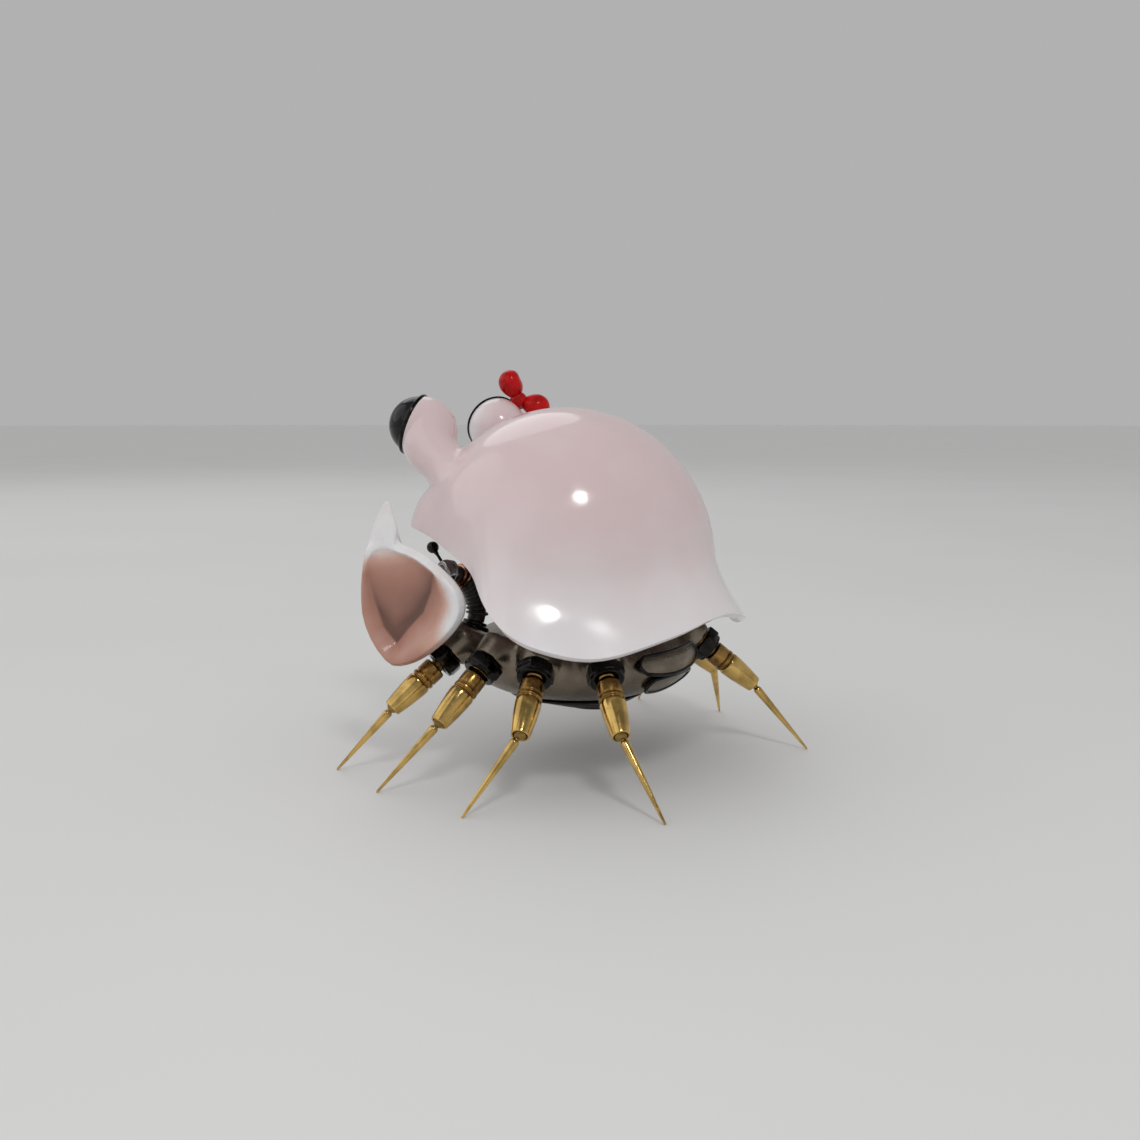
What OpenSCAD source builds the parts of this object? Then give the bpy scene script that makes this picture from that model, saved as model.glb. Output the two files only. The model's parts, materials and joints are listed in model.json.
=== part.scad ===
// Mechanical crab ornament: a porcelain shell over a polished metal body, with
// eight jointed brass legs, two porcelain claws on ribbed arms and two eyes.
// Millimetres. The table is z = 0, the crab looks along +X, its left is +Y.

/* [Shell] */
// Height of the shell's crown above the table
crown_z = 152.5; // [150:0.5:156]
// Radius of the domed part of the shell
dome_r = 66; // [64:0.5:68]
// Height of the dome's widest level
dome_level_z = 84; // [82:0.5:88]
// How far the dome's axis lies in front of the body's centre
dome_x = 5.9; // [4:0.1:8]
// Height of the lowest point of the wavy rim
rim_low_z = 57; // [56:0.5:60]
// How far the rim at the brow is above its lowest point
rim_rise = 49; // [46:0.5:52]
// How far the skirt stands out past the dome
skirt_flare = 15; // [12:0.5:16]
// Height over which the skirt flares
flare_h = 26; // [22:0.5:30]
// Thickness of the porcelain shell
shell_wall = 3.2; // [2.6:0.1:3.6]

/* [Eyes] */
// Radius of an eye stalk's round head
stalk_head_r = 13.8; // [13:0.1:14.4]
// How far ahead of the body's centre the head is
stalk_head_x = 67.5; // [66:0.5:69]
// How far the head stands out to the side
stalk_head_y = 27; // [25.5:0.5:28.5]
// Height of the head
stalk_head_z = 144; // [142:0.5:146]
// Angle that an eye turns out to its side
eye_out_angle = 25; // [15:1:30]
// Angle that an eye looks up
eye_up_angle = 21; // [14:1:28]
// Distance from the head's centre to the eye's flat seat
eye_seat = 1.6; // [1.2:0.1:2.6]
// Thickness of the chrome ring round an eye
eye_ring_h = 2; // [1.5:0.1:2.6]
// How far the glass eye stands out of its ring
eye_bulge = 10; // [8.5:0.5:11]
// Radius of the stalk where it meets the shell
stalk_waist_r = 9.2; // [8.6:0.1:9.8]

/* [Bow] */
// Length of each loop of the bow
bow_loop_len = 15.5; // [14:0.5:17]
// Largest radius of a loop
bow_loop_r = 6; // [5.4:0.1:6.4]
// Radius of the bow's knot
bow_knot_r = 4.2; // [3.8:0.1:4.6]

/* [Body] */
// Radius of the body at its widest
body_r = 52; // [50:0.5:54]
// Height of the body's widest level
body_mid_z = 46; // [45:0.5:48]
// Height of the body's top above that level
body_top_h = 16; // [15:0.5:18]
// Depth of the body's bottom below that level, as if it ran to a point
body_low_h = 21; // [20:0.5:23]
// Radius of the largest belly plate
apron_r = 31; // [29:0.5:33]
// Thickness of each belly plate
apron_h = 1.7; // [1.5:0.1:2]
// How much smaller each belly plate is than the one above it
apron_step = 6; // [5:0.5:7]
// Thickness of the two tail plates
tail_h = 1.4; // [1:0.1:1.8]
// Radius of the deck plate on top of the body
deck_r = 30; // [28:0.5:32]
// Thickness of the deck plate
deck_h = 2.5; // [2:0.1:3]
// Radius of the post that carries the shell
post_r = 5; // [4:0.25:6]
// Radius of the pad between the post and the shell
pad_r = 9; // [8:0.5:10]
// Thickness of that pad
pad_h = 3; // [2:0.25:4]

/* [Legs] */
// Height of the hip balls
hip_z = 48; // [47:0.25:49]
// Angle at which a thigh slopes down
thigh_slope = 39.5; // [38:0.5:41]
// Length of a thigh from hip ball to knee ball
thigh_len = 30.5; // [29.5:0.25:31.5]
// Length of a needle from knee ball to table
needle_len = 38.5; // [37.5:0.25:40]
// Radius of a hip ball
hip_ball_r = 5.4; // [5:0.1:5.6]
// Radius of the brass coxa
coxa_r = 5.2; // [4.8:0.1:5.4]
// Length of the coxa's visible barrel
coxa_len = 8.6; // [8:0.1:9.5]
// Largest radius of the shin barrel
barrel_r = 5.3; // [5:0.1:5.6]
// Radius of the barrel's lower lip
lip_r = 3.7; // [3.6:0.05:3.9]
// Radius of a knee ball
knee_ball_r = 2.75; // [2.6:0.05:2.8]
// Radius of a needle at its thickest
needle_r = 1.85; // [1.7:0.05:2]
// Radius of a needle where it stands on the table
tip_r = 0.5; // [0.4:0.05:0.6]
// Width of the hexagon nut round a hip, across its corners
collar_w = 16.4; // [15.8:0.1:17]

/* [Claws and arms] */
// Width of a claw across its cup
claw_w = 51; // [49:0.5:53]
// Height of a claw's cup
claw_h = 54.5; // [52:0.5:56]
// Height of the spike above the middle of the cup
spike_h = 46; // [44:0.5:47]
// Depth of the cup
cup_depth = 9; // [8:0.25:9.5]
// Thickness of the claw behind the middle of its cup
claw_wall = 4; // [3.6:0.1:4.4]
// Radius of the curve that an arm follows
arm_bend_r = 16.5; // [16:0.25:17.5]
// Angle that an arm turns through
arm_sweep = 98; // [94:1:102]
// Radius of an arm's core
arm_core_r = 3.8; // [3.4:0.1:4.1]
// Radius of an arm's ribs
rib_r = 5; // [4.7:0.1:5.3]
// Number of ribs on an arm
rib_count = 10; // [8:1:12]
// Radius of the channel through an arm
arm_bore_r = 2; // [1.5:0.1:2.4]
// Radius of the ball at a wrist
wrist_ball_r = 2.8; // [2.6:0.05:3]

/* [Fits] */
// Gap between a ball and its socket
ball_gap = 0.2; // [0.15:0.01:0.3]
// Gap between pieces that are fixed to each other
seat_gap = 0.1; // [0.08:0.01:0.2]
// Radial gap of a turning pin in its hole
pin_gap = 0.05; // [0.02:0.01:0.08]

/* [Hidden] */
SIDES = ["left", "right"];
$fn = 48;

// Where the body's centre stands, so that the whole crab is centred on the origin
body_x = 1.7;
// A cut runs this far past what it cuts
over = 1;

// Rim of the shell by angle from the front, the same on both sides.
// Heights are shares of rim_rise, and radii past the dome shares of skirt_flare.
rim_angles = [0, 40, 60, 80, 90, 101, 109, 118, 134, 156, 180];
rim_height_shares = [1, 0.9, 0.84, 0.71, 0.575, 0.36, 0.205, 0.09, 0, 0.12, 0.235];
rim_reach_shares = [0.35, 0.14, -0.22, -0.22, -0.16, 0.55, 0.97, 1.07, 0.96, 0.9, 0.88];
shell_steps = 72;
shell_rings = 15;
flare_power = 1.45;

// Steepness of a table at one of its points, level at both ends
function table_slope(at, values, i) =
    i == 0 || i == len(at) - 1 ? 0 : (values[i + 1] - values[i - 1]) / (at[i + 1] - at[i - 1]);

// Smooth reading of a table of values
function table(at, values, a) =
    let (i = min(len([for (x = at) if (x <= a) 1]) - 1, len(at) - 2),
         gap = at[i + 1] - at[i], t = (a - at[i]) / gap)
    values[i] * (1 + 2 * t) * pow(1 - t, 2) + table_slope(at, values, i) * gap * t * pow(1 - t, 2)
    + values[i + 1] * pow(t, 2) * (3 - 2 * t)
    - table_slope(at, values, i + 1) * gap * pow(t, 2) * (1 - t);

function rim_z(a) = rim_low_z + rim_rise * table(rim_angles, rim_height_shares, a);

// How much of the round brow there is at an angle: all of it in front, none past the claws
function brow_share(a) = (1 + cos(180 * min(1, max(0, (a - 45) / 50)))) / 2;

// How far the rim stands out past the dome's radius
function rim_reach(a) = skirt_flare * table(rim_angles, rim_reach_shares, a);

// Radius of the bare dome at a height
function dome_at(z) =
    z <= dome_level_z ? dome_r
    : dome_r * sqrt(max(0, 1 - pow((z - dome_level_z) / (crown_z - dome_level_z), 2)));

// Point of the shell at angle a and share u of the way from crown to rim, depth inside its skin
function shell_point(a, u, depth) =
    let (fold = a > 180 ? 360 - a : a, low = rim_z(fold), b = brow_share(fold),
         z = crown_z - (crown_z - low) * (1 - cos(90 * u)),
         t = min(1, (z - low) / (flare_h * (1 - 0.2 * b))),
         flare = pow(1 - pow(t, 1 + 2 * b), flare_power * (1 - b) + b),
         edge = dome_r + rim_reach(fold) - dome_at(low),
         r = dome_at(z) + edge * flare - depth * sin(90 * u))
    [dome_x + r * cos(a), r * sin(a), z - depth * cos(90 * u)];

// Faces of a closed skin made of rings of n points between two end points
function ring_faces(rings, n) = concat(
    [for (j = [0:n - 1]) [0, 1 + (j + 1) % n, 1 + j]],
    [for (i = [0:rings - 2], j = [0:n - 1], k = [0, 1])
        let (p = 1 + i * n + j, q = 1 + i * n + (j + 1) % n)
        k == 0 ? [p, q, p + n] : [q, q + n, p + n]],
    [for (j = [0:n - 1])
        [1 + (rings - 1) * n + j, 1 + (rings - 1) * n + (j + 1) % n, 1 + rings * n]]);

// Direction with an azimuth and a height angle
function heading(az, up) = [cos(az) * cos(up), sin(az) * cos(up), sin(up)];

module at_body() { translate([body_x, 0, 0]) children(); }

module on_side(side) { mirror([0, side == "left" ? 0 : 1, 0]) children(); }

// Turns +Z to a heading
module point_to(az, up) { rotate([0, 90 - up, az]) children(); }

// Colours of the finishes
porcelain = [0.93, 0.86, 0.88];
blush = [0.90, 0.76, 0.78];
gunmetal = [0.42, 0.40, 0.38];
black_chrome = [0.10, 0.10, 0.11];
gold_brass = [0.80, 0.60, 0.25];

// Shell with its eye stalks

// A stalk starts at this angle from the front, this share of the way from crown to rim
stalk_base_angle = 41;
stalk_base_share = 0.66;
stalk_base = shell_point(stalk_base_angle, stalk_base_share, shell_wall / 2);
stalk_head = [stalk_head_x, stalk_head_y, stalk_head_z];
stalk_bow = [1.2, 0.5, -0.5];
stalk_mid = (stalk_head + stalk_base) / 2 + stalk_bow;
stalk_mid_r = (stalk_waist_r + stalk_head_r) / 2;
disc_h = 0.4;
// Angles at which a stalk rises at its base, its middle and its neck
base_angle = 46;
mid_angle = 42;
neck_angle = 34;

module stalk_disc(at, r, up) {
    translate(at) point_to(eye_out_angle, up) cylinder(h = disc_h, r = r, center = true, $fn = 32);
}

// Solid of one stalk before its front is cut flat for the eye
module stalk_body() {
    low = stalk_base * 0.7 + stalk_mid * 0.3;
    neck = stalk_head * 0.7 + stalk_mid * 0.3;
    hull() {
        stalk_disc(stalk_base, stalk_waist_r * 1.08, base_angle);
        stalk_disc(low, stalk_waist_r, base_angle);
    }
    hull() {
        stalk_disc(low, stalk_waist_r, base_angle);
        stalk_disc(stalk_mid, stalk_mid_r, mid_angle);
    }
    hull() {
        stalk_disc(stalk_mid, stalk_mid_r, mid_angle);
        stalk_disc(neck, stalk_head_r * 0.95, neck_angle);
    }
    hull() {
        stalk_disc(neck, stalk_head_r * 0.95, neck_angle);
        translate(stalk_head) sphere(r = stalk_head_r, $fn = 32);
    }
}

module eye_frame() { translate(stalk_head) point_to(eye_out_angle, eye_up_angle) children(); }

module stalk() {
    difference() {
        stalk_body();
        eye_frame() translate([0, 0, eye_seat]) cylinder(h = stalk_head_r, r = stalk_head_r * 2);
    }
}

module shell_skin() {
    outer = [for (i = [1:shell_rings], j = [0:shell_steps - 1])
        shell_point(j * 360 / shell_steps, i / shell_rings, 0)];
    inner = [for (i = [shell_rings:-1:1], j = [0:shell_steps - 1])
        shell_point(j * 360 / shell_steps, i / shell_rings, shell_wall)];
    points = concat([[dome_x, 0, crown_z]], outer, inner, [[dome_x, 0, crown_z - shell_wall]]);
    polyhedron(points, ring_faces(2 * shell_rings, shell_steps));
}

module carapace() {
    color(porcelain) at_body() union() {
        shell_skin();
        on_side("left") stalk();
        on_side("right") stalk();
    }
}

// Post, pad and deck that carry the shell

deck_z = body_mid_z + body_top_h * sqrt(1 - pow(deck_r / body_r, 2));
pad_top_z = crown_z - shell_wall - seat_gap
    - (crown_z - dome_level_z) * (1 - sqrt(1 - pow(pad_r / (dome_r - shell_wall), 2)));
screw_r = 1.5;
screw_head_r = 2.8;
screw_head_h = 1.6;
screw_circle_r = deck_r * 0.76;
screw_count = 4;

module crown_pad() {
    color("dimgray") at_body() translate([dome_x, 0, pad_top_z - pad_h]) cylinder(h = pad_h, r = pad_r);
}

module shell_post() {
    color(gunmetal) at_body() translate([dome_x, 0, deck_z + deck_h]) {
        cylinder(h = pad_top_z - pad_h - deck_z - deck_h, r = post_r);
        cylinder(h = deck_h, r = post_r * 2);
    }
}

module deck_holes(r) {
    for (k = [0:screw_count - 1]) rotate([0, 0, (k + 0.5) * 360 / screw_count])
        translate([screw_circle_r, 0, -over]) cylinder(h = deck_h + 2 * over, r = r);
}

module top_deck() {
    color(gunmetal) at_body() translate([0, 0, deck_z]) difference() {
        cylinder(h = deck_h, r = deck_r);
        deck_holes(screw_r + seat_gap);
    }
}

module deck_screws() {
    color(black_chrome) at_body() translate([0, 0, deck_z]) for (k = [0:screw_count - 1])
        rotate([0, 0, (k + 0.5) * 360 / screw_count]) translate([screw_circle_r, 0, 0]) {
            cylinder(h = deck_h + seat_gap, r = screw_r);
            translate([0, 0, deck_h]) cylinder(h = screw_head_h, r = screw_head_r);
        }
}

// Body

apron_z = body_mid_z - body_low_h * sqrt(1 - pow(apron_r / body_r, 2));
body_steps = 18;

// Upper and lower halves of the body's outline, as two elliptical arcs
function body_outline(grow) = (
    [for (k = [0:body_steps / 2]) let (a = k * 2 * acos(deck_r / body_r) / body_steps)
        [(body_r + grow) * cos(a), body_mid_z + (body_top_h + grow) * sin(a)]]);
function body_underline(grow) =
    [for (k = [0:body_steps / 2]) let (a = -k * 2 * acos(apron_r / body_r) / body_steps)
        [(body_r + grow) * cos(a), body_mid_z + (body_low_h + grow) * sin(a)]];
function reversed(list) = [for (i = [len(list) - 1:-1:0]) list[i]];

// Places of the left hips: how far each lies past the body, its azimuth, and the headings
// of thigh and needle
hip_reaches = [8.5, 5, 4.5, 4.5];
hip_azimuths = [61, 85, 109, 137];
thigh_azimuths = [60, 80, 113, 139];
needle_azimuths = [26, 40, 69, 164];
boss_r_share = 0.92;

function hip_at(i) = let (r = body_r + hip_reaches[i])
    [r * cos(hip_azimuths[i]), r * sin(hip_azimuths[i]), hip_z];
function knee_at(i) = hip_at(i) + thigh_len * heading(thigh_azimuths[i], -thigh_slope);
knee_z = hip_z - thigh_len * sin(thigh_slope);
needle_drop = asin(knee_z / needle_len);

collar_h = 5.2;
collar_back = 1.2;
flange_h = 1.2;
flange_r = collar_w * 0.43;
boss_len = 9;
boss_r = collar_w / 2 * boss_r_share;
boss_root_r = boss_r * 1.25;
socket_r = hip_ball_r + ball_gap;

module at_hip(i) { translate(hip_at(i)) point_to(thigh_azimuths[i], -thigh_slope) children(); }

module hip_boss(i) {
    at_hip(i) translate([0, 0, -collar_back - boss_len]) {
        cylinder(h = boss_len, r1 = boss_root_r, r2 = boss_r);
        sphere(r = boss_root_r);
    }
}

module body_bulb() {
    rotate_extrude($fn = 96) polygon(concat(
        [[0, apron_z]], reversed(body_underline(0)), body_outline(0), [[0, deck_z]]));
}

// Arms rise from two round bosses on the shoulders
arm_foot_in = 6;
arm_foot_az = 47.6;
arm_foot_up = 11;
arm_foot = [(body_r - arm_foot_in) * cos(arm_foot_az), (body_r - arm_foot_in) * sin(arm_foot_az),
    body_mid_z + arm_foot_up];
arm_plane = 75;
arm_lean = 20;
arm_boss_r = 6.6;
arm_boss_h = 7;
arm_socket_h = 3.5;
arm_pin_r = 2.9;
pin_bore_share = 0.8;

module at_arm_foot() { translate(arm_foot) rotate([0, -arm_lean, arm_plane]) children(); }

module body_housing() {
    color(gunmetal) at_body() difference() {
        union() {
            body_bulb();
            for (s = SIDES) on_side(s) {
                for (i = [0:3]) hip_boss(i);
                at_arm_foot() translate([0, 0, -arm_boss_h])
                    cylinder(h = arm_boss_h, r1 = arm_boss_r * 1.3, r2 = arm_boss_r);
            }
        }
        translate([0, 0, deck_z]) cylinder(h = body_top_h, r = body_r);
        for (s = SIDES) on_side(s) {
            for (i = [0:3]) at_hip(i) {
                sphere(r = socket_r);
                translate([0, 0, -collar_back])
                    cylinder(h = collar_h + flange_h, r = collar_w / 2 + ball_gap);
            }
            at_arm_foot() cylinder(h = arm_boss_h, r = arm_boss_r + seat_gap);
        }
        translate([0, 0, deck_z - deck_h]) deck_holes(screw_r + seat_gap);
    }
}

// Hexagon nut and flange that hold each hip ball
module hip_collar() {
    difference() {
        union() {
            translate([0, 0, -collar_back]) cylinder(h = collar_h, r = collar_w / 2, $fn = 6);
            translate([0, 0, -collar_back]) cylinder(h = collar_h + flange_h, r = flange_r);
        }
        sphere(r = socket_r);
        cylinder(h = collar_h + flange_h, r = socket_r * 0.82);
    }
}

module hip_collars() {
    color(black_chrome) at_body() for (s = SIDES) on_side(s) for (i = [0:3]) at_hip(i) hip_collar();
}

// Belly plates, each smaller than the one above it and set further back
module apron_plate(k) {
    r = apron_r - k * apron_step;
    color(black_chrome) at_body() translate([-k * apron_step * 0.5, 0, apron_z - (k + 1) * apron_h])
        rotate_extrude($fn = 72) polygon(concat([[0, apron_h], [r, apron_h]],
            [for (t = [0:15:75]) [r - apron_h * 1.6 * (1 - cos(t)), apron_h * (1 - sin(t))]],
            [[r - apron_h * 2, 0], [0, 0]]));
}

// Tail plates lie on the body between the rear legs
tail_half_angle = 21;

module tail_plate(from_share, to_share, half_angle) {
    steps = 6;
    arc = [for (k = [0:steps]) let (a = -from_share - (to_share - from_share) * k / steps)
        [cos(a), sin(a)]];
    inner = [for (p = arc) [(body_r + seat_gap) * p[0],
        body_mid_z + ((p[1] > 0 ? body_top_h : body_low_h) + seat_gap) * p[1]]];
    outer = [for (p = arc) [(body_r + tail_h) * p[0],
        body_mid_z + ((p[1] > 0 ? body_top_h : body_low_h) + tail_h) * p[1]]];
    color(gunmetal) at_body() rotate([0, 0, 180 - half_angle])
        rotate_extrude(angle = 2 * half_angle, $fn = 96) polygon(concat(inner, reversed(outer)));
}

// Eye ring and lens

eye_rim_r = sqrt(pow(stalk_head_r, 2) - pow(eye_seat, 2));
lens_r = eye_rim_r * 0.93;
lens_ball_r = (pow(lens_r, 2) + pow(eye_bulge, 2)) / (2 * eye_bulge);

module eye_ring(side) {
    color(black_chrome) at_body() on_side(side) eye_frame() translate([0, 0, eye_seat])
        rotate_extrude() polygon([
            [lens_r + seat_gap, eye_ring_h * 0.3], [lens_r + seat_gap, eye_ring_h],
            [eye_rim_r, eye_ring_h], [eye_rim_r + eye_ring_h * 0.25, eye_ring_h * 0.6],
            [eye_rim_r, 0], [lens_r * 0.85, 0], [lens_r * 0.85, eye_ring_h * 0.3]]);
}

module eye_lens(side) {
    color("black") at_body() on_side(side) eye_frame()
        translate([0, 0, eye_seat + eye_ring_h * 0.3 + seat_gap]) {
            cylinder(h = eye_ring_h * 0.7, r = lens_r);
            translate([0, 0, eye_ring_h * 0.7]) intersection() {
                translate([0, 0, eye_bulge - lens_ball_r]) sphere(r = lens_ball_r, $fn = 64);
                cylinder(h = eye_bulge + over, r = lens_r);
            }
        }
}

// Bow on the head of the right eye stalk

bow_back_angle = 216;
bow_tilt_angle = 48;
bow_stem_h = 2.6;
bow_spread_angle = 66;

module bow_frame() {
    translate([stalk_head[0], -stalk_head[1], stalk_head[2]]) point_to(bow_back_angle, bow_tilt_angle)
        translate([0, 0, stalk_head_r + bow_stem_h]) children();
}

// A loop is a plump drop that grows from the knot, widest past its middle
loop_widest_share = 0.6;
function loop_r(t) = bow_loop_r * (t < loop_widest_share ? pow(sin(90 * t / loop_widest_share), 0.85)
    : sqrt(1 - pow((t - loop_widest_share) / (1 - loop_widest_share), 2)));

module bow_loop() {
    steps = 14;
    rotate_extrude($fn = 36) polygon(concat([[0, 0]],
        [for (k = [1:steps - 1]) let (t = sin(90 * k / steps)) [loop_r(t), bow_loop_len * t]],
        [[0, bow_loop_len]]));
}

module bow_loops() {
    color("red") at_body() bow_frame() difference() {
        union() {
            rotate([0, bow_spread_angle, 0]) bow_loop();
            rotate([0, -bow_spread_angle, 0]) bow_loop();
        }
        sphere(r = bow_knot_r + seat_gap);
    }
}

module bow_knot() {
    color("red") at_body() difference() {
        bow_frame() union() {
            sphere(r = bow_knot_r);
            translate([0, 0, -bow_stem_h - bow_knot_r])
                cylinder(h = bow_stem_h + bow_knot_r, r = bow_knot_r * 0.6);
        }
        translate([stalk_head[0], -stalk_head[1], stalk_head[2]]) sphere(r = stalk_head_r + seat_gap);
        on_side("right") eye_frame() translate([0, 0, eye_seat - seat_gap])
            cylinder(h = eye_ring_h + 2 * seat_gap, r = eye_rim_r + eye_ring_h * 0.25 + seat_gap);
    }
}

// Feelers: a bead on a thin stem beside the mouth

feeler_foot_az = 17;
feeler_foot_in = 6;
feeler_foot_r = body_r - feeler_foot_in;
feeler_bead = [69, 18, 88.5];
feeler_stem_r = 0.7;
feeler_bead_r = 2.8;
feeler_foot = [feeler_foot_r * cos(feeler_foot_az), feeler_foot_r * sin(feeler_foot_az),
    body_mid_z + body_top_h * sqrt(1 - pow(feeler_foot_r / body_r, 2)) + seat_gap];

module rod(from, to, r) {
    way = to - from;
    translate(from) rotate([0, acos(way[2] / norm(way)), atan2(way[1], way[0])])
        cylinder(h = norm(way), r = r);
}

module feeler(side) {
    color(black_chrome) at_body() on_side(side) {
        rod(feeler_foot + [0, 0, feeler_stem_r], feeler_bead, feeler_stem_r);
        translate(feeler_bead) sphere(r = feeler_bead_r);
    }
}

// Arms

rib_step = arm_sweep / (rib_count + 2);
rib_angle = rib_step * 0.45;
ring_places = [rib_count - 1, rib_count];

// The arm's curve lies in the XZ plane of this frame, from angle 0 at its foot
module arm_frame(side) {
    at_body() on_side(side) at_arm_foot() translate([0, 0, arm_socket_h])
        translate([arm_bend_r, 0, 0]) rotate([90, 0, 0]) children();
}

// Part of a ring round the arm's curve, from one angle to another
module arm_ring(from, to, r) {
    rotate([0, 0, 180 - to]) rotate_extrude(angle = to - from, $fn = 96)
        translate([arm_bend_r, 0]) circle(r = r);
}

module arm_socket(side) {
    color(black_chrome) at_body() on_side(side) at_arm_foot() difference() {
        union() {
            translate([0, 0, seat_gap]) cylinder(h = arm_socket_h * 0.45, r = arm_boss_r);
            translate([0, 0, seat_gap]) cylinder(h = arm_socket_h - 3 * seat_gap, r = arm_boss_r * 0.8);
        }
        translate([0, 0, -over]) cylinder(h = arm_socket_h + 2 * over, r = arm_pin_r + pin_gap);
    }
}

module arm_hose(side) {
    color("dimgray") difference() {
        union() {
            arm_frame(side) arm_ring(0, arm_sweep, arm_core_r);
            for (k = [1:rib_count - 2]) arm_frame(side)
                arm_ring(rib_step * (k + 0.2), rib_step * (k + 0.2) + rib_angle, rib_r);
            at_body() on_side(side) at_arm_foot() translate([0, 0, 2 * seat_gap])
                cylinder(h = arm_socket_h - seat_gap, r = arm_pin_r);
        }
        arm_frame(side) arm_ring(-over, arm_sweep + over, arm_bore_r);
        at_body() on_side(side) at_arm_foot() translate([0, 0, -over])
            cylinder(h = arm_socket_h + 1.5 * over, r = arm_bore_r * pin_bore_share);
    }
}

module arm_rings(side) {
    color([0.72, 0.42, 0.28]) for (k = ring_places) difference() {
        arm_frame(side) arm_ring(rib_step * (k + 0.2), rib_step * (k + 0.2) + rib_angle, rib_r * 1.04);
        arm_frame(side) arm_ring(rib_step * k, rib_step * (k + 1), arm_core_r + seat_gap);
    }
}

// Frame at the arm's upper end, with +Z along the arm
module arm_end_frame(side) {
    arm_frame(side) rotate([0, 0, 180 - arm_sweep]) translate([arm_bend_r, 0, 0])
        rotate([90, 0, 0]) children();
}

wrist_out = wrist_ball_r + 1.2;
cap_r = arm_core_r + 1.7;
cap_back = 1;
cap_front = wrist_out + wrist_ball_r * 0.55;

module wrist_cap(side) {
    color("silver") difference() {
        arm_end_frame(side) rotate_extrude() polygon([[0, seat_gap], [cap_r, seat_gap],
            [cap_r, cap_front * 0.6], [cap_r * 0.8, cap_front], [0, cap_front]]);
        arm_end_frame(side) translate([0, 0, wrist_out]) sphere(r = wrist_ball_r + ball_gap);
        arm_end_frame(side) translate([0, 0, wrist_out])
            cylinder(h = cap_front, r = wrist_ball_r * 0.88);
    }
}

// Claw

claw_turn = 10;
claw_low_end_share = -0.515;
// Corners of the claw's face from its middle, as shares of its half width and of its cup's height
claw_low_shares = [
    [-0.133, 0.4], [-0.45, 0.318], [-0.8, 0.195], [-0.98, 0.085], [-1.02, -0.02], [-0.93, -0.125],
    [-0.73, -0.238], [-0.435, -0.358], [-0.1, -0.46], [0.196, -0.51], [0.44, claw_low_end_share],
    [0.76, -0.365], [0.965, -0.171]];
claw_corner_shares = concat([[1.01, 0.047], [0.98, 0.243], [0.865, 0.455], [0.735, 0.625],
    [0.45, spike_h / claw_h], [0.35, 0.686], [0.27, 0.555], [0.3, 0.455]], claw_low_shares);

// Same corners, with the spike cut off level with the cup
claw_rim_shares = concat([[1.01, 0.047], [0.97, 0.243], [0.85, 0.375], [0.71, 0.435],
    [0.56, 0.462], [0.45, 0.47], [0.36, 0.466], [0.29, 0.45]], claw_low_shares);

// Two new points on each side of a closed outline, a quarter in from its corners
function softened(list) = [for (i = [0:len(list) - 1], t = [0.25, 0.75])
    list[i] * (1 - t) + list[(i + 1) % len(list)] * t];

claw_corners = softened([for (s = claw_corner_shares) [s[0] * claw_w / 2, s[1] * claw_h]]);
claw_rim = softened([for (s = claw_rim_shares) [s[0] * claw_w / 2, s[1] * claw_h]]);
claw_steps = len(claw_corners);
claw_lip = 3.4;
lip_share = 0.8;
cup_low_shares = [0.33, -0.26];
cup_low = [cup_low_shares[0] * claw_w / 2, cup_low_shares[1] * claw_h];

// Folds of the cup run from its lowest point in these directions, and split it into a back
// wall and a right wall. Each has a sharpness and says how far it keeps the cup deep.
fold_angles = [72, 120, 280];
fold_sharpness = [30, 16, 8];
fold_shares = [2, 1.8, 1.2];
function cup_power(p) =
    let (a = atan2(p[1] - cup_low[1], p[0] - cup_low[0]),
         folds = [for (i = [0:2]) fold_shares[i] * pow(max(0, cos(a - fold_angles[i])), fold_sharpness[i])])
    1.15 + folds[0] + folds[1] + folds[2];

function cup_inside(k, s) =
    let (edge = claw_rim[k] * lip_share, p = cup_low * (1 - s) + edge * s)
    [p[0], -cup_depth * (1 - pow(s, cup_power(edge))), p[1]];
function lip_point(k, t) = let (p = claw_rim[k] * lip_share * (1 - t) + claw_corners[k] * t)
    [p[0], -claw_lip * (1 - cos(90 * t)), p[1]];
function cup_outside(k, s) = let (p = claw_rim[k] * s + (claw_corners[k] - claw_rim[k]) * pow(s, 8))
    [p[0], -claw_lip - (cup_depth + claw_wall - claw_lip) * (1 - pow(s, 3.2)), p[1]];

module claw_solid() {
    inside_at = [0.12, 0.26, 0.42, 0.58, 0.74, 0.88, 1];
    lip_at = [0.3, 0.6, 0.85, 1];
    outside_at = [0.93, 0.82, 0.66, 0.45, 0.22];
    rings = concat([for (s = inside_at) [for (k = [0:claw_steps - 1]) cup_inside(k, s)]],
        [for (t = lip_at) [for (k = [0:claw_steps - 1]) lip_point(k, t)]],
        [for (s = outside_at) [for (k = [0:claw_steps - 1]) cup_outside(k, s)]]);
    points = concat([[cup_low[0], -cup_depth, cup_low[1]]], [for (ring = rings, p = ring) p],
        [[0, -cup_depth - claw_wall, 0]]);
    polyhedron(points, [for (f = ring_faces(len(rings), claw_steps)) reversed(f)]);
}

// The stud stands square on the claw's back, and its ball sits in the wrist cap
stud_side_share = -0.15;
stud_up = 38.7;
stud_foot_r = 4.6;
stud_foot_h = 1.6;
stud_neck_r = 1.5;
stud_len = 9.4;
stud_place = [stud_side_share * claw_w / 2, -cup_depth - claw_wall * 0.75 - stud_len,
    stud_up + claw_low_end_share * claw_h];

// Claw's own frame: its face looks along +Y, and the wrist ball is at the arm's end
module claw_frame(side) {
    at_body() on_side(side) translate(wrist_at) rotate([0, 0, claw_turn]) translate(-stud_place) children();
}

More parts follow.
